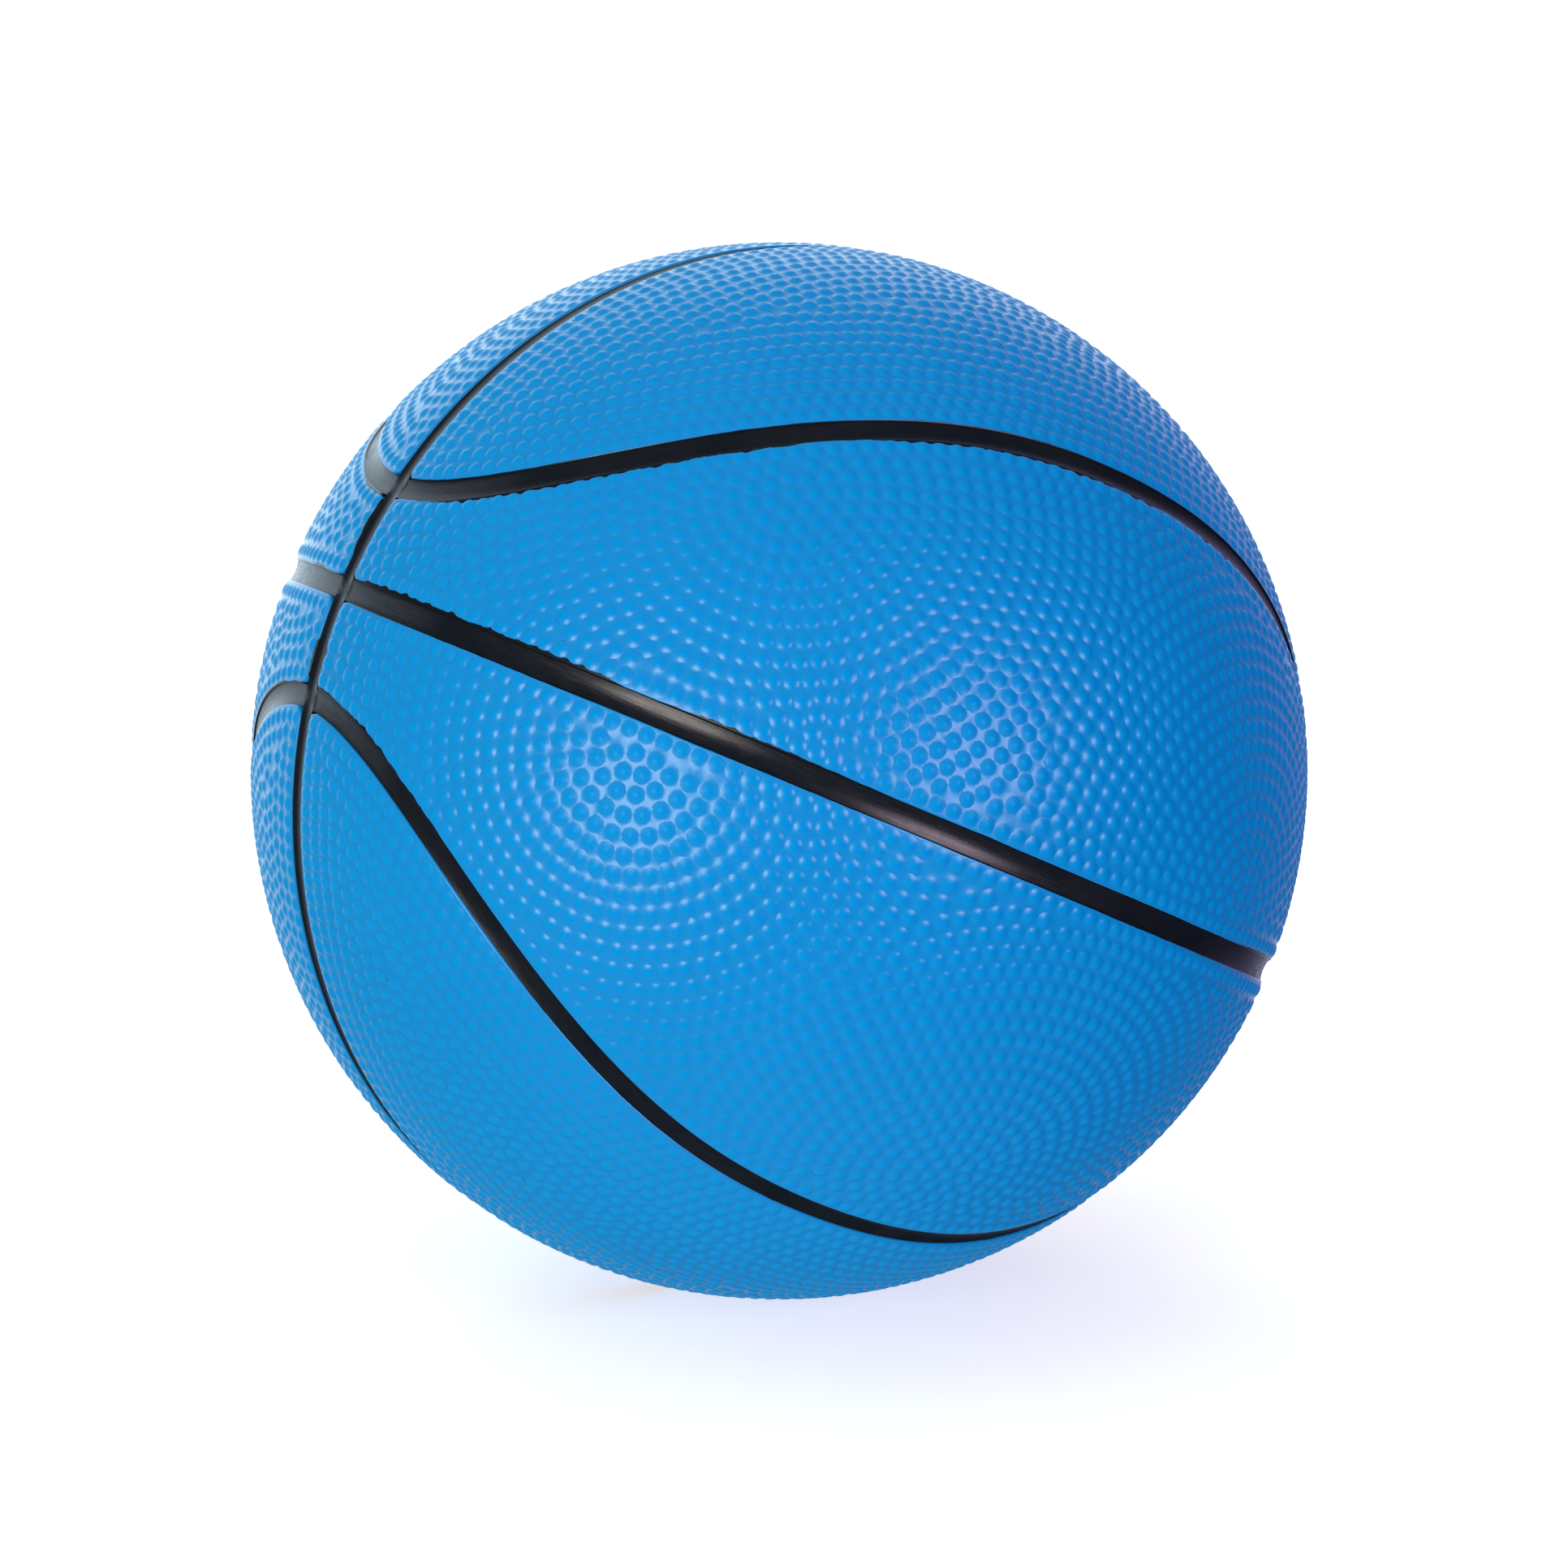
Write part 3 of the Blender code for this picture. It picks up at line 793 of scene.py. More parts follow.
def edges_of(triangles, count):
    """Edges of a net, and for each triangle the edge that follows each corner."""
    ends = np.stack([triangles, np.roll(triangles, -1, axis=1)], axis=-1)
    keys = ends.min(axis=-1) * count + ends.max(axis=-1)
    found, after = np.unique(keys, return_inverse=True)
    return np.stack([found // count, found % count], axis=1), after.reshape(-1, 3), found


def pebble_feet(points, edges, sites_from):
    """Angle of each dome's foot from its middle, less by close neighbours and none on borders."""
    foot = np.full(len(points), PEBBLE_FOOT)
    foot *= 1.0 + SIZE_SPREAD * np.random.default_rng(SIZE_SEED).normal(size=len(points))
    both = (edges >= sites_from).all(axis=1)
    length = np.linalg.norm(points[edges[both, 0]] - points[edges[both, 1]], axis=1)
    for end in (0, 1):
        np.minimum.at(foot, edges[both, end], FOOT_LIMIT * length)
    foot[:sites_from] = 0.0
    return foot


print("dome heights on the rings:", [round(dome_height(share), 2) for share in RING_SHARES])

# %% Lay out the domes
def dome_layout(points, triangles, loops):
    """Directions and heights of all points of one panel's top, with what its faces need."""
    made = SimpleNamespace(points=points, triangles=triangles, loops=loops)
    made.sites_from = loops[-1][-1] + 1
    made.edges, made.after, made.keys = edges_of(triangles, len(points))
    foot = pebble_feet(points, made.edges, made.sites_from)
    start, end = points[made.edges[:, 0]], points[made.edges[:, 1]]
    lean = (foot[made.edges[:, 0]] - foot[made.edges[:, 1]]) / np.linalg.norm(end - start, axis=1)
    share = (0.5 + 0.5 * lean)[:, None]
    edge_middles = unit(start * (1.0 - share) + end * share)
    middles = unit(edge_middles[made.after].mean(axis=1))

    owner = np.concatenate([made.edges.ravel(), triangles.ravel()])
    target = np.concatenate([np.repeat(edge_middles, 2, axis=0), np.repeat(middles, 3, axis=0)])
    domed = owner >= made.sites_from
    made.spoke_number = np.cumsum(domed) - 1
    owner, target = owner[domed], target[domed]
    own = points[owner]
    heading = unit(target - (target * own).sum(axis=1, keepdims=True) * own)
    reaches = [(foot[owner] * ring)[:, None] for ring in RING_SHARES]
    rings = [np.cos(reach) * own + np.sin(reach) * heading for reach in reaches]

    tops = PEBBLE_HEIGHT * np.minimum(foot / PEBBLE_FOOT, 1.0)
    edge_dips = DIP_AT_EDGE * (made.edges >= made.sites_from).all(axis=1)
    dips = DIP_AT_MIDDLE * (triangles >= made.sites_from).all(axis=1)
    ring_heights = [tops[owner] * dome_height(ring) for ring in RING_SHARES]
    made.directions = np.vstack([points, edge_middles, middles, *rings])
    made.heights = np.concatenate([tops, -edge_dips, -dips, *ring_heights])
    made.ring_start = len(points) + len(edge_middles) + len(middles)
    made.spokes = len(owner)
    return made


layouts = {kind: dome_layout(*made[:3]) for kind, made in nets.items()}
print("points on the panels' tops:", {kind: len(made.heights) for kind, made in layouts.items()})

# %% Write the faces of the domes and the land
def top_faces(layout):
    """Four-sided and three-sided faces of one panel's top."""
    own = layout.triangles
    count = len(layout.points)
    edge_count = len(layout.edges)
    before = np.roll(layout.after, 1, axis=1)
    middle = count + edge_count + np.repeat(np.arange(len(own)), 3).reshape(own.shape)
    next_spoke = 2 * layout.after + (layout.edges[layout.after, 1] == own)
    last_spoke = 2 * before + (layout.edges[before, 1] == own)
    middle_spoke = 2 * edge_count + np.arange(own.size).reshape(own.shape)
    domed = own >= layout.sites_from

    def ring_point(ring, spoke):
        return layout.ring_start + ring * layout.spokes + layout.spoke_number[spoke]

    fours, threes = [], []
    halves = (
        (next_spoke, middle_spoke, count + layout.after, middle),
        (middle_spoke, last_spoke, middle, count + before),
    )
    for one, other, outer_one, outer_other in halves:
        threes.append(np.stack([own, outer_one, outer_other], axis=-1)[~domed])
        one, other = one[domed], other[domed]
        outer_one, outer_other = outer_one[domed], outer_other[domed]
        for ring in range(len(RING_SHARES)):
            inner_one, inner_other = ring_point(ring, one), ring_point(ring, other)
            fours.append(np.stack([inner_one, outer_one, outer_other, inner_other], axis=-1))
            outer_one, outer_other = inner_one, inner_other
        threes.append(np.stack([own[domed], outer_one, outer_other], axis=-1))
    return np.concatenate(fours), np.concatenate(threes)


faces_of_tops = {kind: top_faces(made) for kind, made in layouts.items()}
print("faces on the tops:", {kind: len(made[0]) + len(made[1]) for kind, made in faces_of_tops.items()})

# %% [markdown]
# ## Rolled rims and undersides
# A moulded panel has no sharp edge: its rim rolls over in a quarter round and then
# drops as a small wall beside the black channel. The round is a few rings of points
# that step outward and down from the border. A smooth underside closes the panel,
# because an open sheet would let light through and could not be printed or cut.

# %% Shape the rims and undersides
LIP_DROP = 0.30 * MM
LIP_ANGLES = (30.0, 60.0, 90.0)
COVER_THICKNESS = 1.5 * MM
UNDERSIDE_RADIUS = BALL_RADIUS - COVER_THICKNESS


def rim_of(layout, loop):
    """Points of one border, with the middles of its edges between them."""
    count = len(layout.points)
    ends = np.stack([loop, np.roll(loop, -1)], axis=1)
    keys = ends.min(axis=1) * count + ends.max(axis=1)
    return np.stack([loop, count + np.searchsorted(layout.keys, keys)], axis=1).ravel()


def lip_steps():
    """Outward angle, drop and unrolled length of each ring of a rim."""
    turns = np.radians(LIP_ANGLES)
    outward = np.append(LIP_WIDTH * np.sin(turns), LIP_WIDTH)
    drop = np.append(LIP_DROP * (1.0 - np.cos(turns)), LAND_RADIUS - UNDERSIDE_RADIUS)
    steps = np.hypot(np.diff(outward, prepend=0.0), np.diff(drop, prepend=0.0))
    return zip(outward / BALL_RADIUS, drop, steps.cumsum() / BALL_RADIUS)


def underside_of(layout, lowest, total):
    """Faces that close a panel from below, and the corners that have a new point there."""
    following = {}
    for loop in layout.loops:
        following.update(zip(loop.tolist(), np.roll(loop, -1).tolist()))
    below = {}
    faces = []
    for corners in layout.triangles.tolist():
        face = []
        for place, corner in enumerate(corners):
            if corner in lowest:
                face.append(lowest[corner][0])
            else:
                face.append(below.setdefault(corner, total + len(below)))
            if following.get(corner) == corners[(place + 1) % 3]:
                face.append(lowest[corner][1])
        faces.append(face[::-1])
    return faces, list(below)


print("a rim's rings drop by", [round(step[1] / MM, 2) for step in lip_steps()], "mm")

# %% Close the panels
def closed_panel(kind):
    """All points and faces of one panel, in the seam axes."""
    layout = layouts[kind]
    fours, threes = faces_of_tops[kind]
    fours = [fours]
    directions = [layout.directions]
    unrolled = [layout.directions]
    heights = [layout.heights]
    lowest = {}
    total = len(layout.directions)
    for loop in layout.loops:
        inner = rim_of(layout, loop)
        top = layout.directions[inner]
        out = unit(np.cross(np.roll(top, -1, axis=0) - np.roll(top, 1, axis=0), top))
        for angle, drop, length in lip_steps():
            outer = np.arange(total, total + len(top))
            total += len(top)
            directions.append(math.cos(angle) * top + math.sin(angle) * out)
            unrolled.append(math.cos(length) * top + math.sin(length) * out)
            heights.append(np.full(len(top), -drop))
            sides = [inner, outer, np.roll(outer, -1), np.roll(inner, -1)]
            fours.append(np.stack(sides, axis=1))
            inner = outer
        lowest.update(zip(loop.tolist(), zip(inner[0::2].tolist(), inner[1::2].tolist())))

    underside, corners_below = underside_of(layout, lowest, total)
    directions.append(layout.points[corners_below])
    unrolled.append(layout.points[corners_below])
    heights.append(np.full(len(corners_below), UNDERSIDE_RADIUS - LAND_RADIUS))
    made = SimpleNamespace(middle=nets[kind][3], underside=underside)
    made.directions = unit(np.vstack(directions))
    made.unrolled = np.vstack(unrolled)
    made.heights = np.concatenate(heights)
    made.faces = np.concatenate(fours).tolist() + threes.tolist() + underside
    return made


closed_panels = {kind: closed_panel(kind) for kind in layouts}
print("faces on the closed panels:", {kind: len(made.faces) for kind, made in closed_panels.items()})

# %% [markdown]
# ## The eight panels
# Each of the eight panels is a mesh of its own, placed by turning one of the four
# sheets about the seam axes. The mesh also carries what its finish will need at
# every point: how far the channel's black is, how high the point stands on its
# pebble, and how freely the black paint ran over the edge there. A painted picture
# could say this too, but values on the points need no picture, stay sharp when seen
# close, and move with the ball. In the photograph the paint ran out near the cross
# seam, and the black is narrower behind it and along the lower side seam.

# %% Say where the paint ran
TIDY_PAINT = 0.12
FREE_BY_MIDDLE_SEAM = 0.95
FREE_BY_UPPER_SEAM = 1.20
FREE_BY_LOWER_SEAM = 0.50
FREE_FADE = 0.25
NARROWER = 0.25 * MM


def paint_run(kind, quarter, directions):
    """How freely paint ran over at each point: near the cross seam, but not under the middle seam."""
    if kind == "end":
        return np.full(len(directions), TIDY_PAINT)
    by_middle_seam = np.arcsin(directions[:, 1]) < -angle_past_side_seam(directions)
    lower = quarter.startswith("lower")
    by_side_seam = FREE_BY_LOWER_SEAM if lower else FREE_BY_UPPER_SEAM
    ends = np.where(by_middle_seam, FREE_BY_MIDDLE_SEAM, by_side_seam)
    free = np.clip((ends - np.abs(directions[:, 2])) / FREE_FADE, TIDY_PAINT, 1.0)
    return np.where(by_middle_seam & lower, TIDY_PAINT, free)


def black_half_width(quarter, directions, run):
    """Half a channel's black width: less at the back, and where the lower side seam's paint is tidy."""
    if quarter.endswith("back"):
        return CHANNEL_HALF_WIDTH - NARROWER
    from_great_seams = np.arcsin(np.clip(directions[:, 1:], -1.0, 1.0)).min(axis=1)
    by_side_seam = np.abs(angle_past_side_seam(directions)) < from_great_seams
    return CHANNEL_HALF_WIDTH - NARROWER * (1.0 - run) * by_side_seam * quarter.startswith("lower")


print("paint is tidy at", TIDY_PAINT, "of its free run, with", NARROWER / MM, "mm less black")

# %% Put values and a map on a mesh
MAP_TOP = 0.85
MAP_GAP = 0.01


def map_flat(mesh, sheet):
    """An unwrapping: the outside laid flat, and the underside in a strip above."""
    flat = laid_flat(sheet.unrolled, sheet.middle)
    flat = (flat - flat.min(axis=0)) / np.ptp(flat, axis=0)
    corners = np.empty(len(mesh.loops), dtype=np.int32)
    mesh.loops.foreach_get("vertex_index", corners)
    spots = flat[corners] * (1.0, MAP_TOP - MAP_GAP)
    below = len(corners) - sum(len(face) for face in sheet.underside)
    spots[below:] = flat[corners[below:]] * (1.0, 1.0 - MAP_TOP) + (0.0, MAP_TOP)
    mesh.uv_layers.new(name="OFBake").data.foreach_set("uv", spots.ravel())


def carry(mesh, name, values):
    """Puts one value per point on the mesh."""
    mesh.attributes.new(name, "FLOAT", "POINT").data.foreach_set("value", values)


print("the outside takes", MAP_TOP - MAP_GAP, "of a panel's map")

# %% Make the panels
QUARTERS = {
    "upper_back": (1.0, 1.0, 1.0),
    "upper_front": (-1.0, 1.0, -1.0),
    "lower_front": (1.0, -1.0, -1.0),
    "lower_back": (-1.0, -1.0, 1.0),
}
CREASE = math.radians(35.0)


def make_panel(kind, node, quarter):
    """One pebbled panel in its place."""
    sheet = closed_panels[kind]
    mesh = bpy.data.meshes.new(node)
    points = in_frame(sheet.directions * QUARTERS[quarter], LAND_RADIUS + sheet.heights)
    mesh.from_pydata(points.tolist(), [], sheet.faces)
    run = paint_run(kind, quarter, sheet.directions)
    edge = black_half_width(quarter, sheet.directions, run)
    carry(mesh, "edge_mm", (depth_in(kind)(sheet.directions) * BALL_RADIUS - edge) / MM)
    carry(mesh, "rise", np.maximum(sheet.heights, 0.0) / PEBBLE_HEIGHT)
    carry(mesh, "paint_run", run)
    map_flat(mesh, sheet)
    made = bpy.data.objects.new(node + "_pebbled", mesh)
    bpy.context.collection.objects.link(made)
    bpy.ops.object.select_all(action="DESELECT")
    made.select_set(True)
    bpy.context.view_layer.objects.active = made
    bpy.ops.object.shade_smooth_by_angle(angle=CREASE)
    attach(made, "ball")
    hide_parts(node)
    return made


panels = []
for quarter in QUARTERS:
    kind = "valve" if quarter == "upper_back" else quarter.split("_")[0]
    panels.append(make_panel(kind, "middle_panel_" + quarter, quarter))
    panels.append(make_panel("end", "end_panel_" + quarter, quarter))
print("panels:", len(panels), "with", sum(len(panel.data.polygons) for panel in panels), "faces")

# %% [markdown]
# ## Channels
# The black strips line shallow rounded channels. Each starts as a plain grid, and
# its columns are wrapped along the seam and its rows across it. The floor's depth
# comes from the distance to the nearest seam, so where two channels meet, one runs
# into the other. A curve with a bevel would be simpler, but its strips would pass
# through each other there. The cross seam is one closed ring, and the others stop
# at its side.

# %% Shape the channels
STRIP_GAP = 0.02 * MM
STRIP_EDGE_DROP = 0.32 * MM
STRIP_HOLLOW = 0.28 * MM
STRIP_THICKNESS = 0.32 * MM
STRIP_STEP = 1.1 * MM / BALL_RADIUS
STRIP_ROWS = 10
LATEST_START = 0.5
HALVINGS = 40

strip_half = (CHANNEL_HALF_WIDTH - STRIP_GAP) / BALL_RADIUS


def strip_distance(points):
    """Distances from the ball's centre to the channels' floor."""
    folded = points.copy()
    folded[:, 1:] = np.abs(folded[:, 1:])
    great = np.abs(np.arcsin(np.clip(folded[:, 1:], -1.0, 1.0)))
    nearest = np.minimum(great.min(axis=1), np.abs(angle_past_side_seam(folded)))
    share = np.minimum(nearest / strip_half, 1.0)
    return LAND_RADIUS - STRIP_EDGE_DROP - STRIP_HOLLOW * (1.0 - share ** 2)


def turn_at_cross_seam(beside, angle):
    """Where a line beside a seam reaches the side of the cross seam's strip, found by halving."""
    low = np.zeros_like(angle)
    high = np.full_like(angle, LATEST_START)
    for _ in range(HALVINGS):
        turn = (low + high) / 2
        short = np.arcsin(beside(turn, angle)[:, 2]) < strip_half + STRIP_GAP / BALL_RADIUS
        low = np.where(short, turn, low)
        high = np.where(short, high, turn)
    return high


print("a channel is", round(2 * strip_half * BALL_RADIUS / MM, 2), "mm wide")

# %% Make the channels
SAME_POINT = 1e-6


def make_channel(node, beside, quarter, closed=False):
    """One black strip in its place."""
    columns = round((2.0 if closed else 1.0) * math.pi / STRIP_STEP)
    bpy.ops.object.select_all(action="DESELECT")
    bpy.ops.mesh.primitive_grid_add(x_subdivisions=columns, y_subdivisions=STRIP_ROWS, size=1.0)
    made = bpy.context.object
    made.name = node + "_channel"
    grid = np.empty(3 * len(made.data.vertices))
    made.data.vertices.foreach_get("co", grid)
    grid = grid.reshape(-1, 3)
    along = grid[:, 0] + 0.5
    across = 2.0 * grid[:, 1]
    angle = across * strip_half
    if closed:
        turn = along * 2 * math.pi
    else:
        end = turn_at_cross_seam(beside, angle)
        turn = end + along * (math.pi - 2 * end)
    directions = unit(beside(turn, angle))
    points = in_frame(directions * QUARTERS[quarter], strip_distance(directions))
    made.data.vertices.foreach_set("co", points.ravel())
    carry(made.data, "across", across)
    carry(made.data, "along_mm", along * columns * STRIP_STEP * BALL_RADIUS / MM)

    bpy.ops.object.mode_set(mode="EDIT")
    bpy.ops.mesh.select_all(action="SELECT")
    bpy.ops.mesh.remove_doubles(threshold=SAME_POINT)
    if not closed:
        bpy.ops.mesh.flip_normals()
    bpy.ops.object.mode_set(mode="OBJECT")
    thicken = made.modifiers.new("thickness", "SOLIDIFY")
    thicken.thickness = STRIP_THICKNESS
    thicken.offset = -1.0
    bpy.ops.object.modifier_apply(modifier=thicken.name)
    bpy.ops.object.shade_smooth_by_angle(angle=CREASE)
    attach(made, "ball")
    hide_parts(node)
    return made


channels = [make_channel("cross_seam", beside_cross_seam, "upper_back", closed=True)]
for side in ("back", "front"):
    channels.append(make_channel("middle_seam_" + side, beside_middle_seam, "upper_" + side))
for quarter in QUARTERS:
    channels.append(make_channel("side_seam_" + quarter, beside_side_seam, quarter))
print("channels:", [channel.name for channel in channels])

# %% [markdown]
# ## Valve
# The hidden side has a needle valve: a rubber bush through all the layers, with its
# face a little below the pebbles, and a soft core in it with the needle's hole. Both
# are turned shapes. They are made as one would by hand, from a circle that is
# extruded and scaled ring by ring along a profile. Spinning a profile would do as
# well, but leaves a seam to close. Moulded rubber has no sharp corners, so the
# profile's corners are rounded.

# %% Define how a piece is turned
TURN_STEPS = 72
CORNER_POINTS = 5


def rounded_profile(corners):
    """Radii and heights along a profile whose corners (radius, height, rounding) are eased."""
    spots = np.array([corner[:2] for corner in corners])
    made = []
    for place, (radius, height, rounding) in enumerate(corners):
        if rounding == 0.0:
            made.append((radius, height))
            continue
        spot = spots[place]
        start = spot + rounding * unit(spots[place - 1] - spot)
        end = spot + rounding * unit(spots[(place + 1) % len(spots)] - spot)
        for share in np.linspace(0.0, 1.0, CORNER_POINTS):
            rest = 1 - share
            made.append(tuple(start * rest ** 2 + spot * 2 * share * rest + end * share ** 2))
    return made


def turned_piece(name, profile):
    """A piece turned about the valve's axis, from rings along a profile."""
    radius, height = profile[0]
    bpy.ops.object.select_all(action="DESELECT")
    place = (0.0, 0.0, height)
    bpy.ops.mesh.primitive_circle_add(vertices=TURN_STEPS, radius=radius, location=place)
    bpy.ops.object.transform_apply(location=True)
    made = bpy.context.object
    made.name = name
    bpy.ops.object.mode_set(mode="EDIT")
    bpy.ops.mesh.select_all(action="SELECT")
    for next_radius, next_height in profile[1:]:
        rise = (0.0, 0.0, next_height - height)
        bpy.ops.mesh.extrude_region_move(TRANSFORM_OT_translate={"value": rise})
        scale = next_radius / radius
        bpy.ops.transform.resize(value=(scale, scale, 1.0), center_override=(0.0, 0.0, next_height))
        radius, height = next_radius, next_height
    bpy.ops.mesh.select_all(action="SELECT")
    bpy.ops.mesh.remove_doubles(threshold=SAME_POINT)
    bpy.ops.mesh.fill_holes(sides=0)
    bpy.ops.mesh.normals_make_consistent(inside=False)
    bpy.ops.object.mode_set(mode="OBJECT")
    bpy.ops.object.shade_smooth_by_angle(angle=CREASE)
    axis = Vector(lie @ valve_direction)
    turn = axis.to_track_quat("Z", "Y").to_matrix().to_4x4()
    made.data.transform(Matrix.Translation(Vector(centre)) @ turn)
    return made


print("turned pieces have", TURN_STEPS, "sides")

# %% Turn the valve housing
VALVE_FACE = BALL_RADIUS - 0.8 * MM
VALVE_SEAT = BALL_RADIUS - 4.5 * MM
FLANGE_RADIUS = 13.5 * MM
FLANGE_THICKNESS = 1.2 * MM
FLANGE_POINTS = 7
BARREL_RADIUS = 6.0 * MM
BARREL_LENGTH = 12.5 * MM
CORE_HEAD_RADIUS = 3.6 * MM
CORE_HEAD_THICKNESS = 1.3 * MM
CORE_STEM_RADIUS = 2.4 * MM


def on_sphere(radius, sphere):
    """Height at which a sphere round the ball's centre has a radius."""
    return math.sqrt(sphere ** 2 - radius ** 2)


under_seat = VALVE_SEAT - FLANGE_THICKNESS
flange_radii = np.linspace(VALVE_NECK_RADIUS, FLANGE_RADIUS, FLANGE_POINTS)
barrel_foot = on_sphere(BARREL_RADIUS, under_seat) - BARREL_LENGTH
stem_bore = CORE_STEM_RADIUS + VALVE_FIT
head_bore = CORE_HEAD_RADIUS + VALVE_FIT
head_floor = VALVE_FACE - CORE_HEAD_THICKNESS - VALVE_FIT
housing_profile = rounded_profile([
    (head_bore, head_floor, 0.0),
    (head_bore, VALVE_FACE, 0.25 * MM),
    (VALVE_NECK_RADIUS, VALVE_FACE, 0.5 * MM),
    *[(radius, on_sphere(radius, VALVE_SEAT), 0.0) for radius in flange_radii],
    *[(radius, on_sphere(radius, under_seat), 0.0) for radius in flange_radii[:1:-1]],
    (BARREL_RADIUS, on_sphere(BARREL_RADIUS, under_seat), 0.4 * MM),
    (BARREL_RADIUS, barrel_foot, 1.5 * MM),
    (stem_bore, barrel_foot, 0.3 * MM),
    (stem_bore, head_floor, 0.0),
])
housing_profile.append(housing_profile[0])
housing = turned_piece("valve_housing_turned", housing_profile)
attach(housing, "ball")
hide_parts("valve_housing")
print("valve housing:", len(housing.data.polygons), "faces")

# %% Turn the valve core
CORE_STEM_LENGTH = 15.0 * MM
CORE_TIP_RADIUS = 1.2 * MM
CORE_TIP_FLAT = 0.4 * MM
CORE_TIP_LENGTH = 4.0 * MM
NEEDLE_HOLE_RADIUS = 0.8 * MM
NEEDLE_HOLE_DEPTH = 12.0 * MM
FUNNEL_RADIUS = 1.7 * MM
FUNNEL_DEPTH = 1.1 * MM

shoulder = VALVE_FACE - CORE_HEAD_THICKNESS
stem_end = shoulder - CORE_STEM_LENGTH
tip = stem_end - CORE_TIP_LENGTH
core_profile = rounded_profile([
    (CORE_TIP_FLAT, tip, 0.0),
    (CORE_TIP_RADIUS, tip, 0.5 * MM),
    (CORE_STEM_RADIUS, stem_end, 0.8 * MM),
    (CORE_STEM_RADIUS, shoulder, 0.0),
    (CORE_HEAD_RADIUS, shoulder, 0.2 * MM),
    (CORE_HEAD_RADIUS, VALVE_FACE, 0.3 * MM),
    (FUNNEL_RADIUS, VALVE_FACE, 0.35 * MM),
    (NEEDLE_HOLE_RADIUS, VALVE_FACE - FUNNEL_DEPTH, 0.4 * MM),
    (NEEDLE_HOLE_RADIUS, VALVE_FACE - NEEDLE_HOLE_DEPTH, 0.0),
])
core = turned_piece("valve_core_turned", core_profile)
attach(core, "valve_core")
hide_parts("valve_core")
print("valve core:", len(core.data.polygons), "faces")

# %% [markdown]
# ## Node groups for rubber
# Several finishes on the ball share two effects. Moulded rubber is never perfectly
# even: its colour clouds slightly, and its skin has a fine orange-peel grain. And a
# ball that is played with picks up faint rubbed patches and hairline scratches. Each
# effect is a node group, which every rubber uses at its own scale. The groups give
# only masks and heights, and each material decides what to do with them.

# %% Make the shared groups
SCRATCH_TURN = (0.6, 0.4, 0.9)
SCRATCH_STRETCH = (1.0, 0.14, 0.35)
SCRATCH_WIDTH = 0.006


def new_group(name, inputs, outputs):
    """An empty node group with float sockets, a place to read, and its input and output nodes."""
    tree = bpy.data.node_groups.new(name, "ShaderNodeTree")
    tree.interface.new_socket("Place", in_out="INPUT", socket_type="NodeSocketVector")
    for label in inputs:
        tree.interface.new_socket(label, in_out="INPUT", socket_type="NodeSocketFloat")
    for label in outputs:
        tree.interface.new_socket(label, in_out="OUTPUT", socket_type="NodeSocketFloat")
    return tree, tree.nodes.new("NodeGroupInput").outputs, tree.nodes.new("NodeGroupOutput").inputs


def moulded_skin():
    """Clouds from 0 to 1, and the height of a fine grain."""
    scales = ("Cloud Scale", "Grain Scale")
    tree, given, result = new_group("moulded_skin", scales, ("Cloud", "Grain"))
    cloud = noise(tree, given["Place"], given["Cloud Scale"], detail=3.0)
    grain = noise(tree, given["Place"], given["Grain Scale"], detail=3.0, roughness=0.6)
    tree.links.new(ranged(tree, cloud, 0.3, 0.7), result["Cloud"])
    tree.links.new(grain, result["Grain"])
    return tree


def handling_marks():
    """A mask of rubbed patches, and one of hairline scratches."""
    scales = ("Patch Scale", "Scratch Scale")
    tree, given, result = new_group("handling_marks", scales, ("Rubbed", "Scratch"))
    patches = noise(tree, given["Place"], given["Patch Scale"], detail=4.0, roughness=0.65)
    rubbed = ranged(tree, patches, 0.56, 0.74)
    inputs = {0: given["Place"], 2: SCRATCH_TURN, 3: SCRATCH_STRETCH}
    stretched = add_node(tree, "Mapping", inputs).outputs[0]
    lines = noise(tree, stretched, given["Scratch Scale"], detail=1.0)
    beside = maths(tree, "ABSOLUTE", maths(tree, "SUBTRACT", lines, 0.5))
    scratch = maths(tree, "MULTIPLY", ranged(tree, beside, 0.0, SCRATCH_WIDTH, 1.0, 0.0), rubbed)
    tree.links.new(rubbed, result["Rubbed"])
    tree.links.new(scratch, result["Scratch"])
    return tree


skin_group = moulded_skin()
marks_group = handling_marks()
print("groups:", skin_group.name, "and", marks_group.name)

# %% Define the finish helpers
def grouped(tree, group, **given):
    """A group's outputs, with its inputs set or linked."""
    made = tree.nodes.new("ShaderNodeGroup")
    made.node_tree = group
    fill_inputs(tree, made, {label.replace("_", " "): value for label, value in given.items()})
    return made.outputs


def new_finish(name):
    """A material, with its node tree and its main shader."""
    made = bpy.data.materials.new(name)
    made.use_nodes = True
    return made, made.node_tree, made.node_tree.nodes["Principled BSDF"]


def bump(tree, shader, height, depth):
    """Bumps on the shader's surface, from heights between 0 and 1 and a depth in metres."""
    made = add_node(tree, "Bump", {"Height": height, "Distance": depth})
    tree.links.new(made.outputs[0], shader.inputs["Normal"])


def give(pieces, finish):
    """Gives pieces one finish."""
    for piece in pieces:
        piece.data.materials.clear()
        piece.data.materials.append(finish)


print("finish helpers ready")
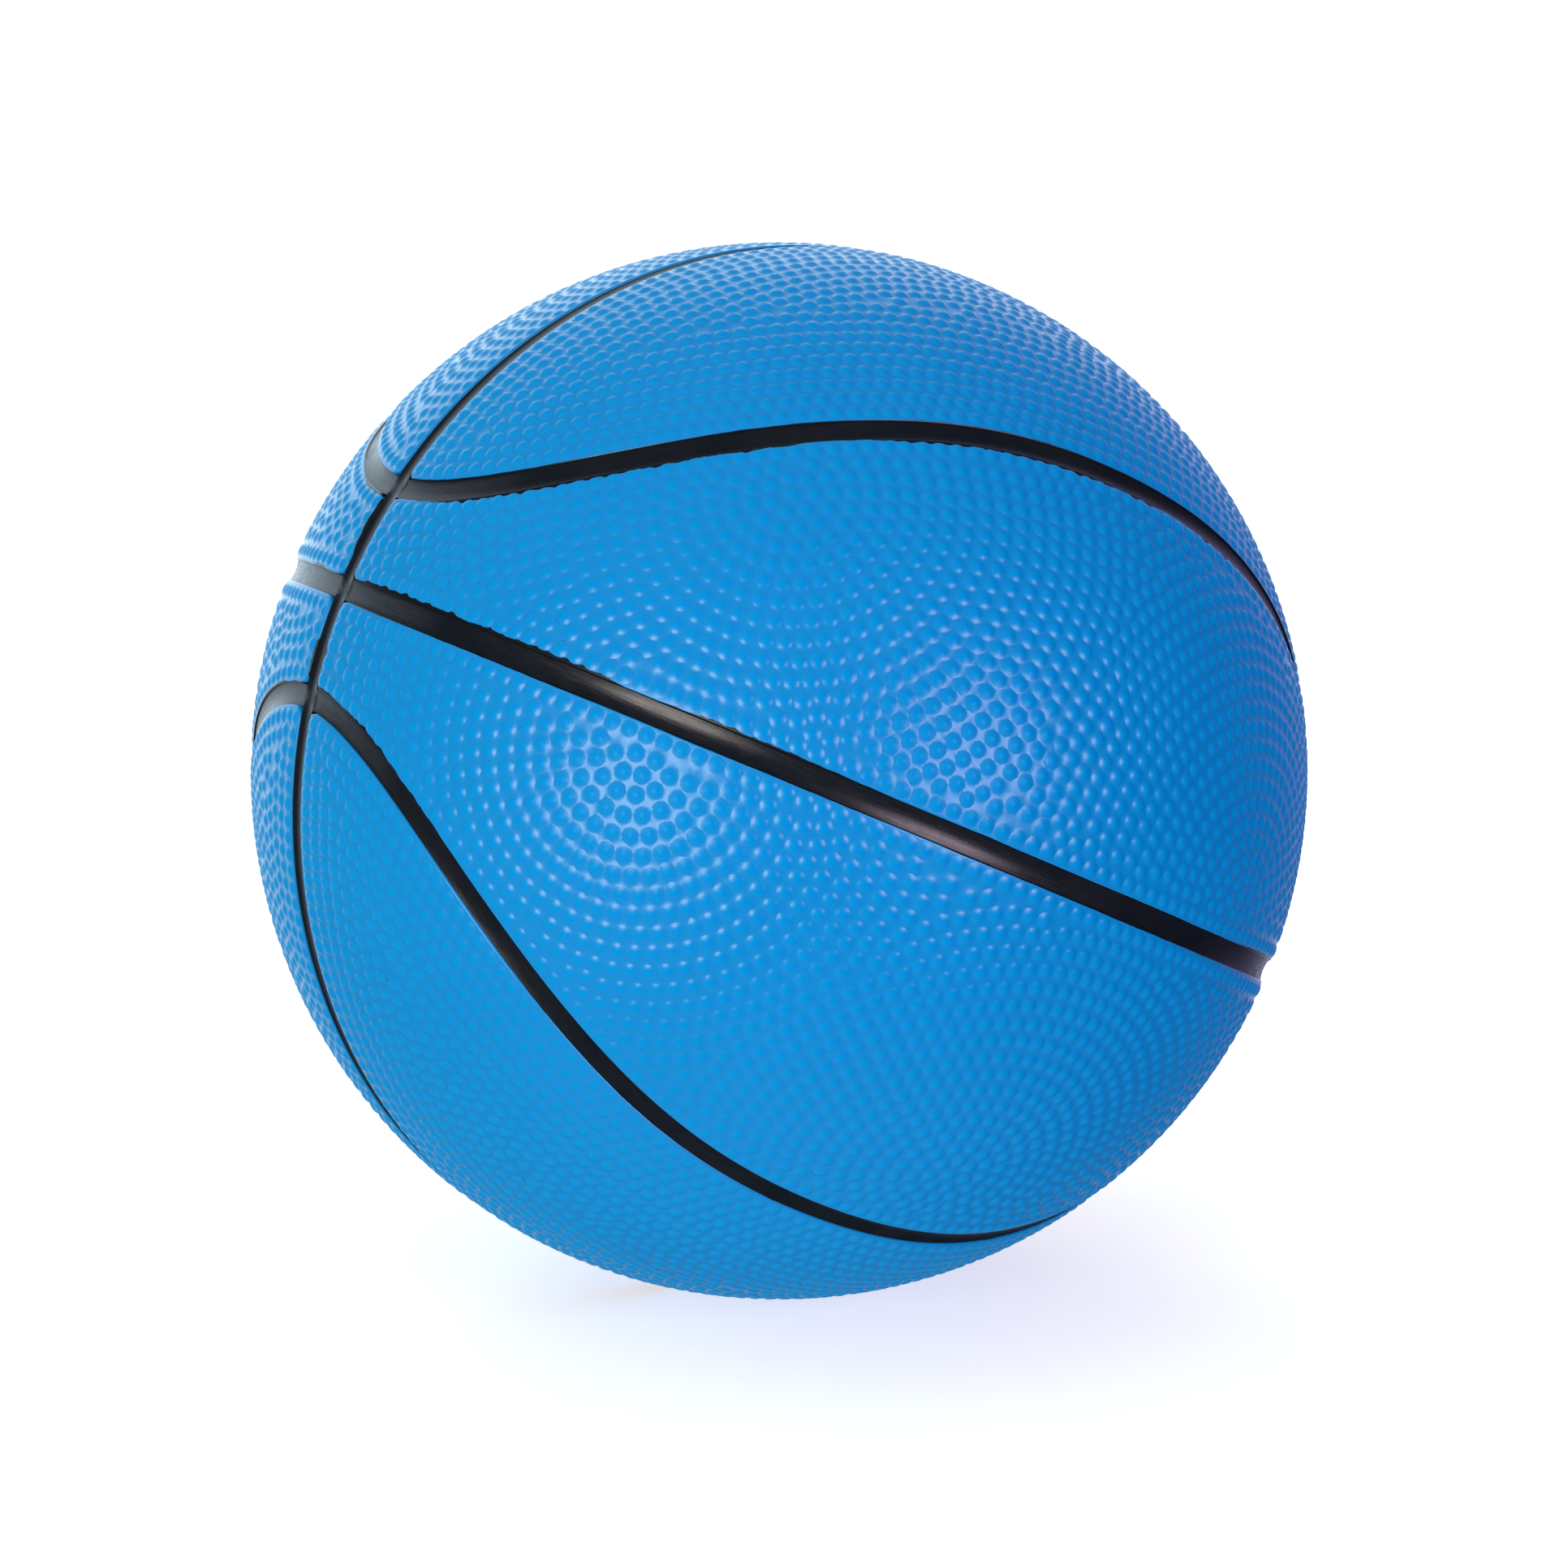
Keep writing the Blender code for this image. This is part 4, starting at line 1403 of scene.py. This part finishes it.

# %% [markdown]
# ## Blue cover
# The cover is blue rubber. Its colour is painted a little deeper on the land between
# the pebbles and lighter up each pebble, by the mesh's rise value: painted shade in the
# hollows and painted light on the tops, over random clouds. The pebbles' tops are
# rubbed dull, and only the land and the slopes still shine: the photograph's highlights
# are bright nets round dull dots. A roughness that changes could show that, but a clear
# coat that thins out up each pebble leaves the blue of the tops pure. The black paint
# was put into the channels by hand: it stops at the rim on most stretches, and runs out
# between the first pebbles near the cross seam. That edge is where the channel is
# nearer than a ragged reach, which noise makes long in some places and short in others.

# %% Finish the cover
BLUE_DEEP = (0.0, 0.230, 0.534, 1.0)
BLUE_LIGHT = (0.0, 0.257, 0.570, 1.0)
BLUE_WORN = (0.0, 0.275, 0.595, 1.0)
CHANNEL_BLACK = (0.0060, 0.0080, 0.0115, 1.0)
PAINT_REACH = 0.90
PAINT_HEEL = 0.16
PAINT_ON_PEBBLES = 0.2
PAINT_EDGE = 0.05
STRETCH_SCALE = 62.0
SCALLOP_SCALE = 430.0
# Painted light: how much lighter each pebble's colour is painted towards its top.
PAINTED_LIGHT_BY_RISE = 0.6
TONE_BY_CLOUD = 0.4
WEAR_SHOWS = 0.35
WEAR_DULLS = 0.3
RUBBER_IOR = 1.5
PEBBLE_GLOSS = 0.07
SLOPE_STARTS = 0.35
SLOPE_ENDS = 0.80
LAND_COAT = 0.86
LAND_ROUGHNESS = 0.28


def blue_cover():
    """Glossy blue rubber, with black paint that has run out of the channels."""
    made, tree, shader = new_finish("blue_cover_rubber")
    place = object_place(tree)
    skin = grouped(tree, skin_group, Place=place, Cloud_Scale=38.0, Grain_Scale=5200.0)
    marks = grouped(tree, marks_group, Place=place, Patch_Scale=26.0, Scratch_Scale=300.0)
    rise = attribute(tree, "rise")

    stretches = ranged(tree, noise(tree, place, STRETCH_SCALE), 0.36, 0.54)
    scallops = ranged(tree, noise(tree, place, SCALLOP_SCALE), 0.35, 0.65, 0.45, 1.0)
    run = maths(tree, "MULTIPLY", stretches, scallops)
    run = maths(tree, "MULTIPLY", run, attribute(tree, "paint_run"))
    reach = maths(tree, "ADD", maths(tree, "MULTIPLY", run, PAINT_REACH), PAINT_HEEL)
    low_down = ranged(tree, rise, 0.0, SLOPE_STARTS, 1.0, PAINT_ON_PEBBLES)
    reach = maths(tree, "MULTIPLY", reach, low_down)
    over = maths(tree, "SUBTRACT", reach, attribute(tree, "edge_mm"))
    painted = ranged(tree, over, 0.0, PAINT_EDGE)

    # Painted shade and light: deeper blue on the land, lighter up each pebble, plus random clouds.
    tone_and_painted_light = raised(tree, maths(tree, "MULTIPLY", rise, PAINTED_LIGHT_BY_RISE), skin["Cloud"], TONE_BY_CLOUD)
    colour = blended(tree, tone_and_painted_light, BLUE_DEEP, BLUE_LIGHT)
    wear = maths(tree, "MULTIPLY", maths(tree, "MULTIPLY", marks["Rubbed"], rise), WEAR_SHOWS)
    colour = blended(tree, maths(tree, "ADD", wear, marks["Scratch"]), colour, BLUE_WORN)
    tree.links.new(blended(tree, painted, colour, CHANNEL_BLACK), shader.inputs["Base Color"])

    rough = ranged(tree, skin["Cloud"], 0.0, 1.0, 0.26, 0.31)
    tree.links.new(raised(tree, rough, wear, WEAR_DULLS), shader.inputs["Roughness"])
    shader.inputs["IOR"].default_value = RUBBER_IOR
    shader.inputs["Specular IOR Level"].default_value = PEBBLE_GLOSS
    shader.inputs["Coat Roughness"].default_value = LAND_ROUGHNESS
    coat = ranged(tree, rise, SLOPE_STARTS, SLOPE_ENDS, LAND_COAT, 0.0)
    tree.links.new(coat, shader.inputs["Coat Weight"])
    bump(tree, shader, skin["Grain"], depth=0.006 * MM)
    return made


give(panels, blue_cover())
print("cover finish on", len(panels), "panels")

# %% [markdown]
# ## Black channels
# The channels are coated in black gloss that was brushed along the seam, so it is
# streaked lengthwise. The mesh says how far along and across the channel a point is,
# so the streaks follow every bend of the seam, which noise in space would not do.
# Where the channels meet the cross seam, a grey reflection is painted over the black.
# It fades away from the cross seam, and painted shade keeps each strip's edges darker.

# %% Finish the channels
BLACK_BROWN = (0.018, 0.015, 0.017, 1.0)
# Painted reflection: the grey of the sheen painted in near the cross seam, and how far it reaches.
PAINTED_SHEEN_GREY = (0.066, 0.062, 0.072, 1.0)
SHEEN_STARTS = 2.6 * MM
SHEEN_ENDS = 28.0 * MM
STREAKS_PER_MM = 0.05
STREAK_SCALE = 5.0
RUBBED_DULLS = 0.10
GLOSS_TINT = (1.0, 0.87, 0.85, 1.0)


def black_channel():
    """Black gloss brushed along the channel, with a painted grey reflection near the cross seam."""
    made, tree, shader = new_finish("black_channel_gloss")
    place = object_place(tree)
    skin = grouped(tree, skin_group, Place=place, Cloud_Scale=90.0, Grain_Scale=2600.0)
    marks = grouped(tree, marks_group, Place=place, Patch_Scale=70.0, Scratch_Scale=420.0)
    across = attribute(tree, "across")
    lengthwise = maths(tree, "MULTIPLY", attribute(tree, "along_mm"), STREAKS_PER_MM)
    strip = add_node(tree, "CombineXYZ", {0: lengthwise, 1: across}).outputs[0]
    streaks = noise(tree, strip, STREAK_SCALE, detail=3.0)

    brown = maths(tree, "MULTIPLY", skin["Cloud"], streaks)
    colour = blended(tree, brown, CHANNEL_BLACK, BLACK_BROWN)
    # Painted reflection: grey near the cross seam, fading away from it, with painted shade at the
    # strip's edges.
    from_centre = vector_maths(tree, "SUBTRACT", {0: place, 1: centre})
    height = vector_maths(tree, "DOT_PRODUCT", {0: from_centre, 1: lie[:, 2]}, "Value")
    from_cross_seam = maths(tree, "ABSOLUTE", height)
    dust_and_sheen = ranged(tree, from_cross_seam, SHEEN_STARTS, SHEEN_ENDS, 1.0, 0.0)
    dust_and_sheen = maths(tree, "MULTIPLY", dust_and_sheen, ranged(tree, from_cross_seam, 0.8 * SHEEN_STARTS, SHEEN_STARTS))
    dust_and_sheen = maths(tree, "MULTIPLY", dust_and_sheen, ranged(tree, streaks, 0.3, 0.7, 0.7, 1.0))
    off_middle = maths(tree, "ABSOLUTE", across)
    dust_and_sheen = maths(tree, "MULTIPLY", dust_and_sheen, ranged(tree, off_middle, 0.55, 0.95, 1.0, 0.25))
    tree.links.new(blended(tree, dust_and_sheen, colour, PAINTED_SHEEN_GREY), shader.inputs["Base Color"])

    rough = ranged(tree, streaks, 0.3, 0.7, 0.21, 0.32)
    rough = raised(tree, rough, marks["Rubbed"], RUBBED_DULLS)
    tree.links.new(rough, shader.inputs["Roughness"])
    shader.inputs["IOR"].default_value = RUBBER_IOR
    shader.inputs["Specular Tint"].default_value = GLOSS_TINT
    wavy = raised(tree, maths(tree, "MULTIPLY", streaks, 0.7), skin["Grain"], 0.3)
    bump(tree, shader, wavy, depth=0.03 * MM)
    return made


give(channels, black_channel())
print("channel finish on", len(channels), "strips")

# %% [markdown]
# ## Valve rubbers
# The bush is firm black rubber with a satin skin, and the core a softer dark grey
# one that is dulled by the glycerine and dust that inflating needles leave. They use
# the same two groups at a finer scale.

# %% Finish the valve
BUSH_BLACK = (0.020, 0.020, 0.022, 1.0)
BUSH_GREY = (0.040, 0.040, 0.043, 1.0)
CORE_DARK = (0.070, 0.070, 0.074, 1.0)
CORE_LIGHT = (0.130, 0.130, 0.134, 1.0)


def valve_rubber(name, dark, light, smooth, rough):
    """Satin rubber between two shades, with rubbed spots."""
    made, tree, shader = new_finish(name)
    place = object_place(tree)
    skin = grouped(tree, skin_group, Place=place, Cloud_Scale=260.0, Grain_Scale=6000.0)
    marks = grouped(tree, marks_group, Place=place, Patch_Scale=240.0, Scratch_Scale=900.0)
    colour = blended(tree, skin["Cloud"], dark, light)
    tree.links.new(blended(tree, marks["Scratch"], colour, light), shader.inputs["Base Color"])
    tree.links.new(ranged(tree, marks["Rubbed"], 0.0, 1.0, rough, smooth), shader.inputs["Roughness"])
    bump(tree, shader, skin["Grain"], depth=0.02 * MM)
    return made


give([housing], valve_rubber("valve_bush_rubber", BUSH_BLACK, BUSH_GREY, 0.34, 0.46))
give([core], valve_rubber("valve_core_rubber", CORE_DARK, CORE_LIGHT, 0.42, 0.56))
print("valve finishes made")

# %% [markdown]
# ## Inner layers
# Under the cover lie the carcass, the thread winding and the bladder. They are plain
# shells, so the solids themselves are kept and only need finishes: cloth-marked
# calendered rubber, cream yarn wound in every direction, and black butyl dusted with
# talc so that it doesn't stick. Wave textures give the cloth and the yarn, since both
# are made of parallel threads, and noise gives the dust.

# %% Finish the carcass
CARCASS_DARK = (0.036, 0.036, 0.037, 1.0)
CARCASS_LIGHT = (0.070, 0.069, 0.067, 1.0)
CLOTH_SCALE = 260.0


def finish_inside(node, finish):
    """Gives one of the solids its finish."""
    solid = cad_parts[node]
    give([solid], finish)
    print(node, "has the finish", finish.name)


def threads(tree, place, turn, scale):
    """Heights of parallel threads that run in one direction."""
    turned = add_node(tree, "Mapping", {0: place, 2: turn}).outputs[0]
    shape = {"Distortion": 1.2, "Detail": 2.0, "Detail Scale": 0.6}
    return add_node(tree, "TexWave", {"Vector": turned, "Scale": scale, **shape}).outputs["Fac"]


def carcass_rubber():
    """Matt black rubber with the mark of the cloth that it was rolled on, painted darker in the mark's
    grooves as shade.
    """
    made, tree, shader = new_finish("carcass_rubber")
    place = object_place(tree)
    skin = grouped(tree, skin_group, Place=place, Cloud_Scale=30.0, Grain_Scale=2400.0)
    warp = threads(tree, place, (0.0, 0.0, 0.0), CLOTH_SCALE)
    weft = threads(tree, place, (0.0, 0.0, math.pi / 2), CLOTH_SCALE)
    cloth = maths(tree, "MAXIMUM", warp, weft)
    # Random tone, and painted shade: darker in the grooves of the cloth mark, lighter on its ridges.
    shade = maths(tree, "MULTIPLY", maths(tree, "ADD", cloth, skin["Cloud"]), 0.5)
    tree.links.new(blended(tree, shade, CARCASS_DARK, CARCASS_LIGHT), shader.inputs["Base Color"])
    tree.links.new(ranged(tree, skin["Cloud"], 0.0, 1.0, 0.62, 0.78), shader.inputs["Roughness"])
    bump(tree, shader, cloth, depth=0.06 * MM)
    return made


finish_inside("carcass", carcass_rubber())

# %% Finish the thread winding
# Painted shade: the colour of the yarn in the gaps between threads.
YARN_PAINTED_SHADE = (0.42, 0.38, 0.30, 1.0)
YARN_CREAM = (0.78, 0.74, 0.64, 1.0)
YARN_SCALE = 420.0
YARN_TURNS = ((0.3, 0.1, 0.0), (1.2, 0.4, 0.7), (2.1, 1.3, 0.2), (0.6, 2.2, 1.1))


def winding_yarn():
    """Cream yarn wound over the bladder in every direction, with painted shade between the threads."""
    made, tree, shader = new_finish("winding_yarn")
    place = object_place(tree)
    skin = grouped(tree, skin_group, Place=place, Cloud_Scale=45.0, Grain_Scale=4000.0)
    layers = [threads(tree, place, turn, YARN_SCALE) for turn in YARN_TURNS]
    over = layers[0]
    for number, layer in enumerate(layers[1:]):
        lies_over = ranged(tree, noise(tree, place, 60.0 + 25.0 * number), 0.45, 0.55)
        over = maths(tree, "MAXIMUM", over, maths(tree, "MULTIPLY", layer, lies_over))
    # Painted shade: the yarn darker in the gaps between threads and lighter on their tops.
    shade = maths(tree, "MULTIPLY", over, ranged(tree, skin["Cloud"], 0.0, 1.0, 0.75, 1.0))
    tree.links.new(blended(tree, shade, YARN_PAINTED_SHADE, YARN_CREAM), shader.inputs["Base Color"])
    tree.links.new(ranged(tree, skin["Grain"], 0.3, 0.7, 0.72, 0.9), shader.inputs["Roughness"])
    bump(tree, shader, over, depth=0.2 * MM)
    return made


finish_inside("thread_winding", winding_yarn())

# %% Finish the bladder
BUTYL_BLACK = (0.018, 0.018, 0.020, 1.0)
TALC = (0.34, 0.34, 0.33, 1.0)
SPECK_SCALE = 900.0


def bladder_butyl():
    """Black butyl rubber, dusted with talc."""
    made, tree, shader = new_finish("bladder_butyl")
    place = object_place(tree)
    skin = grouped(tree, skin_group, Place=place, Cloud_Scale=24.0, Grain_Scale=3000.0)
    marks = grouped(tree, marks_group, Place=place, Patch_Scale=40.0, Scratch_Scale=260.0)
    specks = ranged(tree, noise(tree, place, SPECK_SCALE, detail=4.0, roughness=0.7), 0.48, 0.66)
    dust_and_sheen = maths(tree, "MULTIPLY", specks, ranged(tree, skin["Cloud"], 0.0, 1.0, 0.15, 0.7))
    tree.links.new(blended(tree, dust_and_sheen, BUTYL_BLACK, TALC), shader.inputs["Base Color"])
    rough = raised(tree, ranged(tree, dust_and_sheen, 0.0, 1.0, 0.38, 0.8), marks["Rubbed"], 0.08)
    tree.links.new(rough, shader.inputs["Roughness"])
    bump(tree, shader, skin["Grain"], depth=0.03 * MM)
    return made


finish_inside("bladder", bladder_butyl())

# %% [markdown]
# ## The two boxes
# The finer pieces must fill the same room as the solids that they stand for. Both
# boxes are printed, so that they can be compared.

# %% Print both boxes
boxes = {"cad": cad_box, "visual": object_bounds()}
for name, box in boxes.items():
    print(name, rounded(box))
